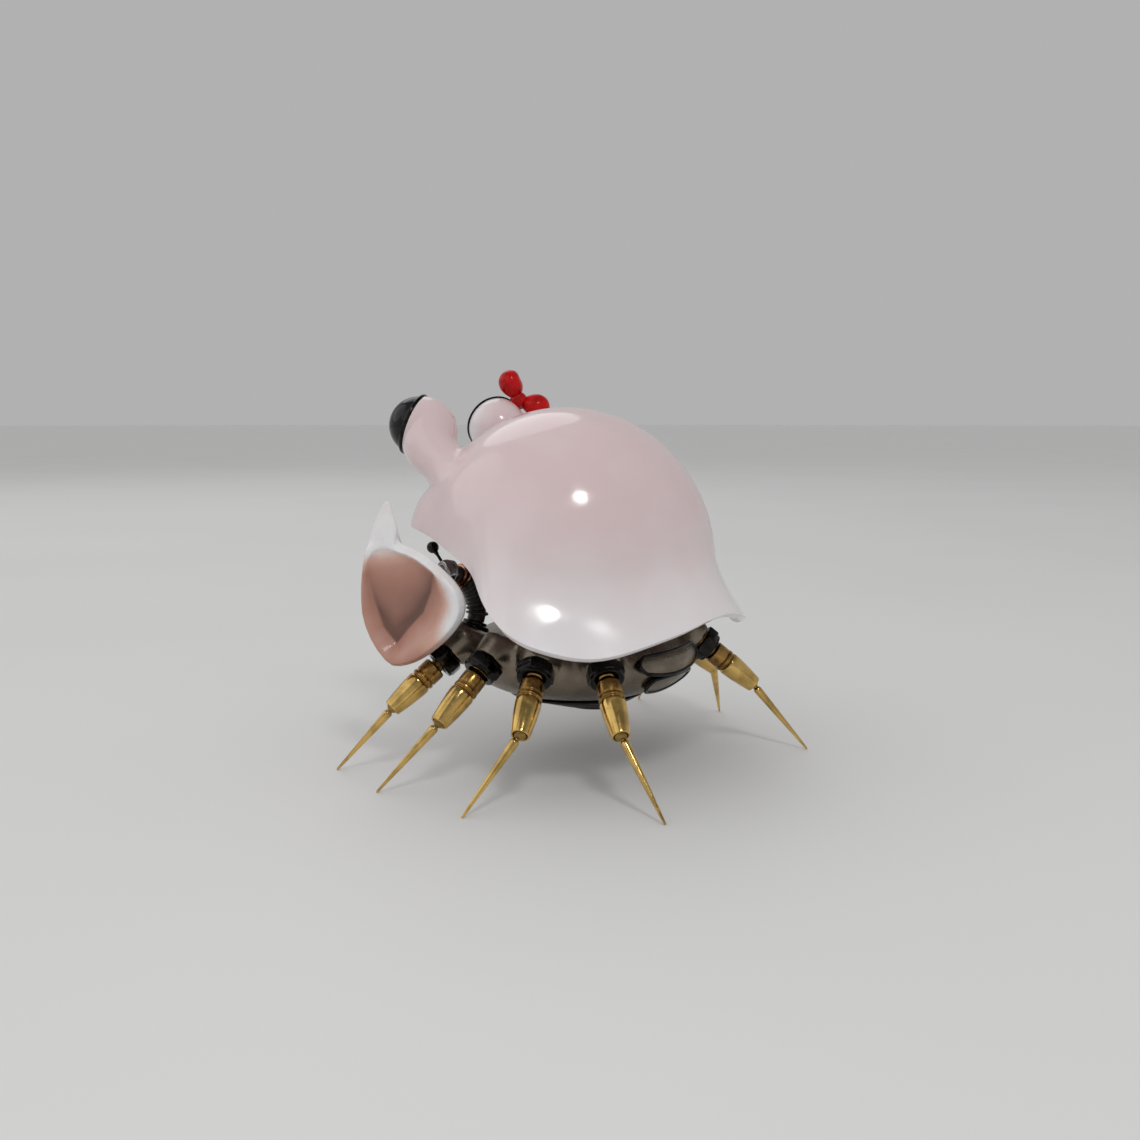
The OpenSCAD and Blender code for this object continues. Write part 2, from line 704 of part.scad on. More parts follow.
// Place of the wrist ball on the left, worked out from the arm's curve
arm_up = [-sin(arm_lean) * cos(arm_plane), -sin(arm_lean) * sin(arm_plane), cos(arm_lean)];
arm_out = [cos(arm_lean) * cos(arm_plane), cos(arm_lean) * sin(arm_plane), sin(arm_lean)];
arm_end = arm_foot + arm_up * (arm_socket_h + arm_bend_r * sin(arm_sweep))
    + arm_out * arm_bend_r * (1 - cos(arm_sweep));
arm_end_way = arm_up * cos(arm_sweep) + arm_out * sin(arm_sweep);
wrist_at = arm_end + arm_end_way * wrist_out;

module claw(side) {
    color(blush) difference() {
        claw_frame(side) claw_solid();
        claw_frame(side) translate(stud_place) rotate([-90, 0, 0])
            translate([0, 0, stud_len - stud_foot_h - 3 * over])
                cylinder(h = stud_foot_h + 3 * over + seat_gap, r = stud_foot_r + seat_gap);
    }
}

module claw_stud(side) {
    color("silver") claw_frame(side) translate(stud_place) {
        sphere(r = wrist_ball_r);
        rotate([-90, 0, 0]) {
            cylinder(h = stud_len, r = stud_neck_r);
            translate([0, 0, stud_len - stud_foot_h]) cylinder(h = stud_foot_h, r = stud_foot_r);
        }
    }
}

// Legs

coxa_from = collar_h - collar_back + flange_h + 1.5;
coxa_to = coxa_from + coxa_len;
neck_r = hip_ball_r * 0.55;
groove = 0.7;
spigot_r = coxa_r * 0.55;
spigot_h = 3;
lip_out = knee_ball_r * 0.45;
knee_socket_r = knee_ball_r + ball_gap;

module leg_coxa() {
    sphere(r = hip_ball_r);
    cylinder(h = coxa_from + over, r = neck_r);
    rotate_extrude() polygon([[0, coxa_from], [coxa_r - groove, coxa_from], [coxa_r, coxa_from + groove],
        [coxa_r, coxa_to - 4 * groove], [coxa_r - groove, coxa_to - 3.4 * groove],
        [coxa_r - groove, coxa_to - 2.4 * groove], [coxa_r, coxa_to - 1.8 * groove],
        [coxa_r * 0.98, coxa_to - groove], [coxa_r * 0.9, coxa_to - seat_gap], [0, coxa_to - seat_gap]]);
    cylinder(h = coxa_to + spigot_h, r = spigot_r);
}

module leg_barrel() {
    steps = 10;
    low = thigh_len + lip_out;
    taper_h = low - coxa_to - 2 * groove;
    difference() {
        rotate_extrude() polygon(concat([[0, coxa_to]],
            [for (k = [0:steps]) let (t = k / steps)
                [lip_r + (barrel_r - lip_r) * pow(cos(90 * max(0, (t - 0.2) / 0.8)), 1.2)
                    - (barrel_r - coxa_r * 0.86) * pow(max(0, 1 - t / 0.2), 2), coxa_to + taper_h * t]],
            [[lip_r + groove * 0.15, low - 1.6 * groove], [lip_r + groove * 0.15, low - groove * 0.4],
             [lip_r - groove * 0.2, low], [0, low]]));
        translate([0, 0, coxa_to - over]) cylinder(h = spigot_h + over + seat_gap, r = spigot_r + seat_gap);
        translate([0, 0, thigh_len]) sphere(r = knee_socket_r);
        translate([0, 0, thigh_len])
            cylinder(h = lip_out + over, r1 = knee_socket_r * 0.9, r2 = knee_socket_r * 0.97);
    }
}

needle_neck_r = knee_ball_r * 0.42;
needle_neck_z = knee_ball_r * 1.15;
needle_full_z = knee_ball_r * 1.6;

module leg_needle() {
    sphere(r = knee_ball_r);
    rotate_extrude() polygon([[0, 0], [needle_neck_r, 0], [needle_neck_r, needle_neck_z],
        [needle_r, needle_full_z], [needle_r * 0.97, needle_full_z * 1.5], [tip_r, needle_len],
        [tip_r - (needle_r - tip_r) * 2 * over / needle_len, needle_len + 2 * over],
        [0, needle_len + 2 * over]]);
}

module leg_piece(side, i, piece) {
    if (piece == "coxa") color(gold_brass) at_body() on_side(side) at_hip(i) leg_coxa();
    if (piece == "barrel") color(gold_brass) at_body() on_side(side) at_hip(i) leg_barrel();
    if (piece == "needle") color(gold_brass) at_body() difference() {
        on_side(side) translate(knee_at(i)) point_to(needle_azimuths[i], -needle_drop) leg_needle();
        translate([0, 0, -needle_len]) cylinder(h = needle_len, r = body_r * 3);
    }
}

carapace();
crown_pad();
shell_post();
top_deck();
deck_screws();
body_housing();
hip_collars();
for (k = [0:3]) apron_plate(k);
tail_plate(-18, 8, tail_half_angle);  // tail_plate_upper
tail_plate(10, 34, tail_half_angle * 0.8);  // tail_plate_lower
bow_loops();
bow_knot();
for (s = SIDES) {
    eye_ring(s);
    eye_lens(s);
    feeler(s);
    arm_socket(s);
    arm_hose(s);
    arm_rings(s);
    wrist_cap(s);
    claw_stud(s);
    claw(s);
    for (i = [0:3], p = ["coxa", "barrel", "needle"])
        leg_piece(s, i, p);
}
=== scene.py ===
import json
import math
from contextlib import contextmanager
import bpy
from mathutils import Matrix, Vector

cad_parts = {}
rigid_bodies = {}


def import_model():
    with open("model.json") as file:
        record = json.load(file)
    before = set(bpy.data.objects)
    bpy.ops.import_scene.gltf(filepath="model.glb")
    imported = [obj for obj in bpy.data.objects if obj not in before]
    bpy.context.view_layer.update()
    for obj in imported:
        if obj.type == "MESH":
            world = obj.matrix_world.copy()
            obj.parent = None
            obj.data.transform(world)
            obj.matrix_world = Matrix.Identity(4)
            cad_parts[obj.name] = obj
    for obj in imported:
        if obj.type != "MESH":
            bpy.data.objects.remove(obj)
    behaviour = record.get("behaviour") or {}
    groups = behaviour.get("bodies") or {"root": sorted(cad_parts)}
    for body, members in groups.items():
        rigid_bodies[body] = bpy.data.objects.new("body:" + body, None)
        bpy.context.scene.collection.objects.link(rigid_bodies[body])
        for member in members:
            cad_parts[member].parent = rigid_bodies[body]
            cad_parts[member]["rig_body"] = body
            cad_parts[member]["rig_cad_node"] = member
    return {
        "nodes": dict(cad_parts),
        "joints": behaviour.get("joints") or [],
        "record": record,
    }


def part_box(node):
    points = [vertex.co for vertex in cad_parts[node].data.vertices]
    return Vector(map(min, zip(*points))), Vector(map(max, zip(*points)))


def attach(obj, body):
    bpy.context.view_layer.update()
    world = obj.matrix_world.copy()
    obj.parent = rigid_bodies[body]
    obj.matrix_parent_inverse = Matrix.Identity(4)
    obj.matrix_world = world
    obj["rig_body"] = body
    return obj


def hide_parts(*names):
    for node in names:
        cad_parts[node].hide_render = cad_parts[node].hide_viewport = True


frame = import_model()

from types import SimpleNamespace

import bmesh
import bpy
from bpy.props import FloatProperty, FloatVectorProperty, IntProperty, PointerProperty
from mathutils import Matrix, Vector
from mathutils.bvhtree import BVHTree
from mathutils.kdtree import KDTree

bl_info = {
    "name": "Mechanical crab sculpture",
    "version": (1, 0, 0),
    "blender": (4, 5, 0),
    "location": "3D View > Sidebar > Crab",
    "description": "Dresses the packed frame of a mechanical crab in porcelain, brass and chrome",
    "category": "Object",
}

MM = 0.001
SIDES = ("left", "right")
LEGS = [(side, number) for side in SIDES for number in range(1, 5)]
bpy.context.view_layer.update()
JOINTS = {joint["name"]: joint for joint in frame["joints"]}
MOUNTS = {mount["name"]: mount for mount in frame["record"]["mounts"]}


# Sizes and colours

def length(name, about, value):
    return FloatProperty(name=name, description=about, default=value, unit="LENGTH")


def hue(name, about, *value):
    return FloatVectorProperty(name=name, description=about, default=value + (1,), subtype="COLOR", size=4)


class ShellSizes(bpy.types.PropertyGroup):
    """Sizes of the porcelain shell"""
    centre_x: length("Dome centre", "How far the dome's axis lies ahead of the origin", 0.0076)
    crown_z: length("Crown height", "Height of the crown above the table", 0.1525)
    dome_r: length("Dome radius", "Radius of the domed part", 0.066)
    dome_level: length("Dome level", "Height of the dome's widest level", 0.084)
    rim_low: length("Rim height", "Height of the lowest point of the wavy rim", 0.057)
    rim_rise: length("Rim rise", "How far the brow is above the lowest point of the rim", 0.049)
    flare: length("Skirt flare", "How far the skirt stands out past the dome", 0.015)
    flare_h: length("Flare height", "Height over which the skirt flares", 0.026)
    wall: length("Wall", "Thickness of the porcelain", 0.0032)
    fillet: length("Stalk fillet", "Reach of the soft fillet where a stalk leaves the dome", 0.008)


class EyeSizes(bpy.types.PropertyGroup):
    """Sizes of the eyes, their stalks and the bow"""
    head_x: length("Head forward", "How far ahead of the origin a stalk's head is", 0.0692)
    head_y: length("Head side", "How far a stalk's head stands out to its side", 0.027)
    head_z: length("Head height", "Height of a stalk's head", 0.144)
    head_r: length("Head radius", "Radius of a stalk's head", 0.0138)
    waist_r: length("Stalk waist", "Radius of a stalk where it meets the shell", 0.0092)
    seat: length("Eye seat", "Distance from the head's centre to the eye's flat seat", 0.0016)
    ring_h: length("Ring height", "Thickness of the chrome ring", 0.002)
    bulge: length("Lens bulge", "How far the lens stands out of its ring", 0.010)
    stem: length("Bow stem", "Length of the stem that carries the bow", 0.0026)
    loop_len: length("Bow loop length", "Length of each loop of the bow", 0.0155)
    loop_r: length("Bow loop radius", "Largest radius of a loop", 0.006)
    knot_r: length("Bow knot radius", "Radius of the bow's knot", 0.0042)


class LegSizes(bpy.types.PropertyGroup):
    """Sizes of the legs and their hip nuts"""
    ball_r: length("Hip ball radius", "Radius of a hip ball", 0.0054)
    coxa_r: length("Coxa radius", "Radius of the brass coxa", 0.0052)
    barrel_r: length("Barrel radius", "Largest radius of the tapered barrel", 0.0053)
    lip_r: length("Lip radius", "Radius of the barrel's lower lip", 0.0037)
    knee_r: length("Knee ball radius", "Radius of a knee ball", 0.00275)
    needle_r: length("Needle radius", "Radius of a needle at its thickest", 0.00185)
    tip_r: length("Tip radius", "Radius of a needle's tip", 0.0005)
    nut_w: length("Nut width", "Width of a hip nut across its corners", 0.0164)


class ClawSizes(bpy.types.PropertyGroup):
    """Sizes of the claws and arms"""
    width: length("Claw width", "Width of a claw across its cup", 0.051)
    height: length("Claw height", "Height of a claw's cup", 0.0545)
    spike: length("Spike height", "Height of the spike above the cup's middle", 0.046)
    depth: length("Cup depth", "Depth of the cup", 0.009)
    wall: length("Claw wall", "Thickness behind the middle of the cup", 0.004)
    stud_r: length("Stud ball radius", "Radius of the ball on a claw's stud", 0.0028)
    bend_r: length("Arm bend", "Radius of the curve that an arm follows", 0.0165)
    socket_h: length("Arm socket height", "Height of an arm's socket, where its curve starts", 0.0035)
    core_r: length("Arm core", "Radius of an arm's core", 0.0038)
    rib_r: length("Rib radius", "Radius of an arm's ribs", 0.005)
    sweep: FloatProperty(name="Arm sweep", description="Angle that an arm turns through",
                         default=math.radians(98), unit="ROTATION")
    ribs: IntProperty(name="Ribs", description="Number of ribs on an arm, with its copper rings", default=10)


class CrabColours(bpy.types.PropertyGroup):
    """Colours of the finishes"""
    white_glaze: hue("White glaze", "Porcelain at the rims", 0.80, 0.79, 0.80)
    pink_glaze: hue("Pink glaze", "Porcelain on the crown", 0.69, 0.54, 0.545)
    warm_blush: hue("Warm blush", "Porcelain just inside the claws", 0.63, 0.385, 0.31)
    deep_blush: hue("Deep blush", "Porcelain deep in the claws", 0.43, 0.21, 0.155)
    brass: hue("Brass", "Polished brass", 0.78, 0.52, 0.17)
    aged_brass: hue("Aged brass", "Darker brass of the coxas", 0.40, 0.23, 0.07)
    gunmetal: hue("Gunmetal", "Polished body metal", 0.24, 0.20, 0.155)
    black_chrome: hue("Black chrome", "Nuts, plates and bezels", 0.030, 0.028, 0.027)
    chrome: hue("Chrome", "Wrist caps and studs", 0.42, 0.41, 0.41)
    copper: hue("Copper", "Rings on the arms", 0.62, 0.30, 0.17)
    hose: hue("Hose", "Ribbed arms", 0.03, 0.027, 0.026)
    glass: hue("Eye glass", "Black glass of the eyes", 0.006, 0.006, 0.007)
    red: hue("Red enamel", "Enamel of the bow", 0.54, 0.003, 0.004)
    rubber: hue("Rubber", "Pad under the crown", 0.05, 0.05, 0.05)
    paper: hue("Floor", "Plain pale floor", 0.70, 0.70, 0.695)


def in_mm(group):
    """The sizes of a group as plain millimetres, with angles and counts as they are."""
    sizes = SimpleNamespace()
    for key in group.__annotations__:
        value = getattr(group, key)
        setattr(sizes, key, value / MM if group.bl_rna.properties[key].unit == "LENGTH" else value)
    return sizes


def colours():
    return bpy.context.scene.crab_colours


# Hand work on meshes

def fresh():
    """Leave edit mode and deselect everything, so that the next operator acts on its own piece."""
    if bpy.context.object and bpy.context.object.mode != "OBJECT":
        bpy.ops.object.mode_set(mode="OBJECT")
    bpy.ops.object.select_all(action="DESELECT")


def focus(piece):
    fresh()
    piece.select_set(True)
    bpy.context.view_layer.objects.active = piece


def named(name):
    piece = bpy.context.object
    piece.name = piece.data.name = name
    return piece


@contextmanager
def editing(piece):
    """Edit mode on a piece, with everything selected at its start."""
    focus(piece)
    bpy.ops.object.mode_set(mode="EDIT")
    bpy.ops.mesh.select_all(action="SELECT")
    yield
    bpy.ops.object.mode_set(mode="OBJECT")


def select_rims():
    """Select the open rims of the mesh in edit mode, and nothing else."""
    bpy.ops.mesh.select_all(action="DESELECT")
    bpy.ops.mesh.select_non_manifold(extend=False)


def apply(piece, kind, **settings):
    """Add a modifier with these settings and apply it."""
    focus(piece)
    modifier = piece.modifiers.new(kind.title(), kind)
    for key, value in settings.items():
        setattr(modifier, key, value)
    bpy.ops.object.modifier_apply(modifier=modifier.name)


def subdivided(piece, levels):
    apply(piece, "SUBSURF", levels=levels, render_levels=levels)


def combined(piece, tool, operation):
    apply(piece, "BOOLEAN", object=tool, operation=operation, solver="EXACT")


def removed(pieces):
    for piece in pieces:
        bpy.data.objects.remove(piece)


def settle(piece, matrix):
    """Put a piece in its place and apply that to its mesh."""
    piece.matrix_world = matrix
    focus(piece)
    bpy.ops.object.transform_apply(location=True, rotation=True, scale=True)


def turn_outwards(piece):
    with editing(piece):
        bpy.ops.mesh.normals_make_consistent(inside=False)


def tidy_mesh(piece, gap=0.01):
    """Merge points within a gap in millimetres and turn the faces outwards."""
    with editing(piece):
        bpy.ops.mesh.remove_doubles(threshold=gap * MM)
    turn_outwards(piece)


def shade(piece, smooth):
    focus(piece)
    bpy.ops.object.shade_smooth_by_angle(angle=math.radians(smooth))


def crisp(piece, width, segments=2, turn=30, smooth=60):
    """Round edges that turn more than an angle, and shade smooth what turns less than another."""
    apply(piece, "BEVEL", width=width * MM, segments=segments, limit_method="ANGLE",
          angle_limit=math.radians(turn), use_clamp_overlap=True)
    shade(piece, smooth)


def copy_of(piece, name):
    focus(piece)
    bpy.ops.object.duplicate(linked=False)
    return named(name)


def joined(pieces, name):
    fresh()
    for piece in pieces:
        piece.select_set(True)
    bpy.context.view_layer.objects.active = pieces[0]
    bpy.ops.object.join()
    return named(name)


def arc(radius, start, end, steps, z=0.0):
    """Profile points on a ball centred at height z, by their angle in degrees from its lowest point."""
    turns = [math.radians(start + (end - start) * k / steps) for k in range(steps + 1)]
    return [(radius * math.sin(a), z - radius * math.cos(a)) for a in turns]


def turned(name, profile, steps=64):
    """Turn a profile of (radius, height) points in millimetres round +Z, as on a lathe."""
    fresh()
    bpy.ops.mesh.primitive_plane_add(size=MM)
    piece = named(name)
    points = [Vector((r, 0, z)) * MM for r, z in profile]
    with editing(piece):
        bpy.ops.mesh.merge(type="CENTER")
        bpy.ops.transform.translate(value=points[0])
        for last, point in zip(points, points[1:]):
            bpy.ops.mesh.extrude_region_move(TRANSFORM_OT_translate={"value": point - last})
        bpy.ops.mesh.select_all(action="SELECT")
        bpy.ops.mesh.spin(steps=steps, angle=math.tau, center=(0, 0, 0), axis=(0, 0, 1))
    tidy_mesh(piece, 0.002)
    return piece


def lofted(name, rings, capped):
    """Extrude a loop from ring to ring. All rings are lists of as many points, in metres."""
    fresh()
    bpy.ops.mesh.primitive_circle_add(vertices=len(rings[0]), radius=1, fill_type="NOTHING")
    piece = named(name)
    with editing(piece):
        for number, ring in enumerate(rings):
            if number:
                bpy.ops.mesh.extrude_region_move()
            mesh = bmesh.from_edit_mesh(piece.data)
            for vertex, point in zip([vertex for vertex in mesh.verts if vertex.select], ring):
                vertex.co = point
            bmesh.update_edit_mesh(piece.data)
        if capped:
            select_rims()
            bpy.ops.mesh.fill_holes(sides=0)
    tidy_mesh(piece, 0.0005)
    return piece


def swept(name, places, around, capped=True):
    """A tube from ring to ring. Each place turns the unit circle, in metres, to its ring."""
    circle = [heading(360 * k / around, 0) for k in range(around)]
    return lofted(name, [[place @ point for point in circle] for place in places], capped)


def moved(piece, where):
    """Move every vertex of a piece to where(co)."""
    for vertex in piece.data.vertices:
        vertex.co = where(vertex.co)
    piece.data.update()


def skin_of(piece):
    """The surface of a piece as it is now, for distances and rays to it."""
    return BVHTree.FromObject(piece, bpy.context.evaluated_depsgraph_get())


def painted(piece, name, values):
    """Keep a value for each vertex, for its finish to read."""
    layer = piece.data.attributes.new(name, "FLOAT", "POINT")
    for cell, value in zip(layer.data, values):
        cell.value = value


def dressed(piece, finish, body, slot, *nodes):
    """Give a piece its finish and its body, and hide the CAD nodes that it stands for. The slot is not used.
    """
    piece.data.materials.clear()
    piece.data.materials.append(kept(finish))
    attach(piece, body)
    if nodes:
        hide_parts(*nodes)


# Places

def heading(azimuth, up):
    a, u = math.radians(azimuth), math.radians(up)
    return Vector((math.cos(a) * math.cos(u), math.sin(a) * math.cos(u), math.sin(u)))


def axes_at(origin, z, x=None):
    """A place with its +Z along z and, where given, its +X near x."""
    z = Vector(z).normalized()
    x = Vector(x) if x else (Vector((0, 0, 1)) if abs(z.z) < 0.9 else Vector((1, 0, 0)))
    y = z.cross(x).normalized()
    turn = Matrix((y.cross(z), y, z)).transposed().to_4x4()
    return Matrix.Translation(origin) @ turn


def shifted(along):
    """A step along +Z, in millimetres."""
    return Matrix.Translation((0, 0, along * MM))


def rotated(angle, axis):
    return Matrix.Rotation(math.radians(angle), 4, axis)


def sign_of(side):
    """+1 for the left side, which is +Y, and -1 for the right side."""
    return 1 if side == "left" else -1


def on_side(side, point):
    return Vector((point[0], point[1] * sign_of(side), point[2]))


def ring_at(place, radius, along=0.0):
    """A ring of a radius in millimetres, some way along a place's +Z."""
    return place @ shifted(along) @ Matrix.Diagonal((radius * MM, radius * MM, MM, 1))


def joint_at(name):
    return Vector(JOINTS[name]["pos_m"])


# Finishes

def feed(tree, socket, value):
    """Give a socket a constant or the output of another node."""
    if isinstance(value, bpy.types.NodeSocket):
        tree.links.new(value, socket)
    else:
        socket.default_value = value


def node(tree, kind, inputs=None, **settings):
    """A new node with its settings, and with constants or other outputs on its inputs."""
    made = tree.nodes.new(kind)
    for key, value in settings.items():
        setattr(made, key, value)
    for key, value in (inputs or {}).items():
        feed(tree, made.inputs[key], value)
    return made


def noise(tree, where, size, detail):
    """Noise whose patches are about size millimetres across."""
    inputs = {"Vector": where, "Scale": 1 / (size * MM), "Detail": detail}
    return node(tree, "ShaderNodeTexNoise", inputs).outputs["Fac"]


def ranged(tree, value, low, high, to_low, to_high):
    """A value between low and high, eased into a range of its own."""
    inputs = {"Value": value, "From Min": low, "From Max": high, "To Min": to_low, "To Max": to_high}
    return node(tree, "ShaderNodeMapRange", inputs, interpolation_type="SMOOTHSTEP").outputs["Result"]


def mixed(tree, share, one, other):
    """A colour between two, by a share. Each is a colour or another output."""
    return node(tree, "ShaderNodeMix", {0: share, 6: one, 7: other}, data_type="RGBA").outputs[2]


def worked(tree, kind, one, other):
    """A sum, product or the like of two values."""
    return node(tree, "ShaderNodeMath", {0: one, 1: other}, operation=kind).outputs[0]


def read(tree, attribute):
    return node(tree, "ShaderNodeAttribute", attribute_name=attribute).outputs["Fac"]


def started(name, metallic, roughness, coat=0.0, ior=1.5):
    """A new finish with its constants on the shader's own sockets, and the piece's own coordinates."""
    material = bpy.data.materials.new(name)
    material.use_nodes = True
    tree = material.node_tree
    shader = tree.nodes["Principled BSDF"]
    for key, value in (("Metallic", metallic), ("Roughness", roughness), ("IOR", ior),
                       ("Coat Weight", coat), ("Coat Roughness", 0.03)):
        shader.inputs[key].default_value = value
    return material, tree, shader, node(tree, "ShaderNodeTexCoord").outputs["Object"]


def surfaced(tree, shader, colour, rough, height, strength, depth):
    """Give a shader its colour, its roughness and a skin of a depth in millimetres."""
    feed(tree, shader.inputs["Base Color"], colour)
    feed(tree, shader.inputs["Roughness"], rough)
    bump = node(tree, "ShaderNodeBump", {"Strength": strength, "Distance": depth * MM, "Height": height})
    feed(tree, shader.inputs["Normal"], bump.outputs["Normal"])


def shades(colour, by):
    """A colour made darker or lighter, by a factor."""
    return tuple(min(1, part * by) for part in colour[:3]) + (1,)


def kept(finish):
    """The material that a finish function makes, made once. The frame has none of that name."""
    name = "crab_" + finish.__name__
    return bpy.data.materials.get(name) or finish(name)


def clouded(tree, where, share):
    """A share of pink from 0 to 1, with soft clouds in it."""
    clouds = ranged(tree, noise(tree, where, 24, 2), 0.3, 0.7, -0.07, 0.07)
    share = worked(tree, "ADD", share, clouds)
    share.node.use_clamp = True
    return share


def shell_glaze(name):
    """High-gloss porcelain, pink on the crown and white at the rim and at the front of the eye stalks."""
    material, tree, shader, where = started(name, 0, 0.14, coat=0.15, ior=1.45)
    at = node(tree, "ShaderNodeSeparateXYZ", {0: where}).outputs
    height = ranged(tree, at["Z"], 0.050, 0.122, 0.12, 1.0)
    share = worked(tree, "MULTIPLY", height, ranged(tree, at["X"], 0.058, 0.074, 1.0, 0.3))
    colour = mixed(tree, clouded(tree, where, share), colours().white_glaze, colours().pink_glaze)
    rough = ranged(tree, noise(tree, where, 9, 4), 0.3, 0.7, 0.10, 0.2)
    surfaced(tree, shader, colour, rough, noise(tree, where, 5, 2), strength=0.05, depth=0.12)
    return material


def claw_glaze(name):
    """Porcelain from white to a deep blush, by the share painted on the claws. Its darkest end, past the deep
    blush, is painted shade deep in the pockets and along their creases.
    """
    material, tree, shader, where = started(name, 0, 0.14, coat=0.15, ior=1.45)
    share = clouded(tree, where, read(tree, "blush"))
    ramp = node(tree, "ShaderNodeValToRGB", {"Fac": share})
    stops = ramp.color_ramp.elements
    stops[0].color = colours().white_glaze
    # The last stop, darker than the deep blush, is painted shade for the pocket's depths and creases.
    stops[1].color = shades(colours().deep_blush, 0.36)
    for at, colour in ((0.34, colours().warm_blush), (0.66, colours().deep_blush)):
        stops.new(at).color = colour
    rough = ranged(tree, noise(tree, where, 7, 4), 0.3, 0.7, 0.18, 0.3)
    rough = worked(tree, "ADD", rough, ranged(tree, share, 0.2, 0.8, 0.0, 0.25))
    surfaced(tree, shader, ramp.outputs["Color"], rough, noise(tree, where, 4, 2), strength=0.05, depth=0.1)
    return material


def metal(name, colour, dark, rough, patch, depth=0.02):
    """Polished metal with patches of patina, varied polish and a fine grain."""
    material, tree, shader, where = started(name, 1, rough[0])
    patina = ranged(tree, noise(tree, where, patch, 5), 0.42, 0.68, 0, 1)
    wear = ranged(tree, noise(tree, where, patch * 0.4, 5), 0.35, 0.7, *rough)
    surfaced(tree, shader, mixed(tree, patina, colour, shades(colour, dark)), wear,
             noise(tree, where, 0.5, 2), strength=0.25, depth=depth)
    return material


def polished_brass(name):
    """Polished brass that goes dark where painted shade is marked on a piece, at the knee joints."""
    material = metal(name, colours().brass, dark=0.66, rough=(0.10, 0.22), patch=7)
    tree = material.node_tree
    base = tree.nodes["Principled BSDF"].inputs["Base Color"]
    dark = shades(colours().brass, 0.04)
    feed(tree, base, mixed(tree, read(tree, "grease"), base.links[0].from_socket, dark))
    return material


def aged_brass(name):
    return metal(name, colours().aged_brass, dark=0.5, rough=(0.18, 0.32), patch=5)


def gunmetal(name):
    return metal(name, colours().gunmetal, dark=0.7, rough=(0.26, 0.4), patch=14, depth=0.01)


def black_chrome(name):
    return metal(name, colours().black_chrome, dark=0.55, rough=(0.1, 0.22), patch=5, depth=0.008)


def chrome(name):
    return metal(name, colours().chrome, dark=0.7, rough=(0.08, 0.2), patch=4, depth=0.006)


def copper(name):
    return metal(name, colours().copper, dark=0.55, rough=(0.14, 0.28), patch=3, depth=0.008)


def gloss(name, colour, other, roughness, coat, patch, grain, depth):
    """Glass, enamel or rubber: a base with slight clouds, smears in its gloss and a fine skin."""
    material, tree, shader, where = started(name, 0, roughness, coat=coat, ior=1.3)
    clouds = ranged(tree, noise(tree, where, patch, 4), 0.35, 0.7, 0, 1)
    smear = ranged(tree, noise(tree, where, patch * 0.6, 5), 0.35, 0.7, roughness, roughness * 1.8)
    surfaced(tree, shader, mixed(tree, clouds, colour, shades(colour, other)), smear,
             noise(tree, where, grain, 3), strength=0.2, depth=depth)
    return material


def dark_hose(name):
    return gloss(name, colours().hose, 2.2, 0.24, coat=0.3, patch=3, grain=0.4, depth=0.02)


def eye_glass(name):
    return gloss(name, colours().glass, 2.0, 0.03, coat=0.1, patch=8, grain=6, depth=0.004)


def red_enamel(name):
    return gloss(name, colours().red, 0.6, 0.16, coat=0.04, patch=5, grain=2.2, depth=0.05)


def rubber(name):
    return gloss(name, colours().rubber, 0.4, 0.5, coat=0, patch=2, grain=0.3, depth=0.03)


# Shell

# At these angles from the front, the rim's height as a share of its rise, and its reach as one of the flare
RIM_ANGLES = (0, 40, 60, 80, 90, 101, 109, 118, 134, 156, 180)
RIM_HEIGHTS = (1, 0.9, 0.84, 0.71, 0.575, 0.36, 0.205, 0.09, 0, 0.12, 0.235)
RIM_REACHES = (0.35, 0.14, -0.22, -0.22, -0.16, 0.55, 0.97, 1.07, 0.96, 0.9, 0.88)
# Where a stalk leaves the shell: its angle from the front, and its share of the way from the crown to the rim
STALK_FOOT = (41, 0.66)
# The stalks are above this height and ahead of this place, in metres
STALKS_ABOVE, STALKS_AHEAD = 0.105, 0.02
EYE_LOOK = heading(25, 21)


def table_value(at, values, a):
    """Smooth reading of a table, level at both ends."""
    last = len(at) - 1
    i = min(sum(1 for x in at if x <= a) - 1, last - 1)

    def slope(k):
        return 0 if k in (0, last) else (values[k + 1] - values[k - 1]) / (at[k + 1] - at[k - 1])

    gap = at[i + 1] - at[i]
    t = (a - at[i]) / gap
    return (values[i] * (1 + 2 * t) * (1 - t) ** 2 + slope(i) * gap * t * (1 - t) ** 2
            + values[i + 1] * t ** 2 * (3 - 2 * t) - slope(i + 1) * gap * t ** 2 * (1 - t))


def shell_point(s, a, u):
    """Point of the outer skin in millimetres, at an angle from the front and a share of the way down."""
    fold = abs((a + 180) % 360 - 180)
    low = s.rim_low + s.rim_rise * table_value(RIM_ANGLES, RIM_HEIGHTS, fold)
    brow = (1 + math.cos(math.pi * min(1, max(0, (fold - 45) / 50)))) / 2
    z = s.crown_z - (s.crown_z - low) * (1 - math.cos(math.pi / 2 * u))
    t = min(1, (z - low) / (s.flare_h * (1 - 0.2 * brow)))
    flare = (1 - max(0, t) ** (1 + 2 * brow)) ** (1.45 * (1 - brow) + brow)

    def dome(height):
        rise = max(0, (height - s.dome_level) / (s.crown_z - s.dome_level))
        return s.dome_r * math.sqrt(max(0, 1 - rise ** 2))

    edge = s.dome_r + s.flare * table_value(RIM_ANGLES, RIM_REACHES, fold) - dome(low)
    r = dome(z) + edge * flare
    a = math.radians(a)
    return Vector((s.centre_x + r * math.cos(a), r * math.sin(a), z))


def smooth_way(points, t):
    """Point at t from 0 to 1 on a smooth curve through the points."""
    spans = len(points) - 1
    i = min(int(t * spans), spans - 1)
    f = t * spans - i
    a, b = points[i], points[i + 1]
    before = points[i - 1] if i else a * 2 - b
    after = points[i + 2] if i + 2 <= spans else b * 2 - a
    return 0.5 * (2 * a + (b - before) * f + (2 * before - 5 * a + 4 * b - after) * f ** 2
                  + (3 * a - before - 3 * b + after) * f ** 3)


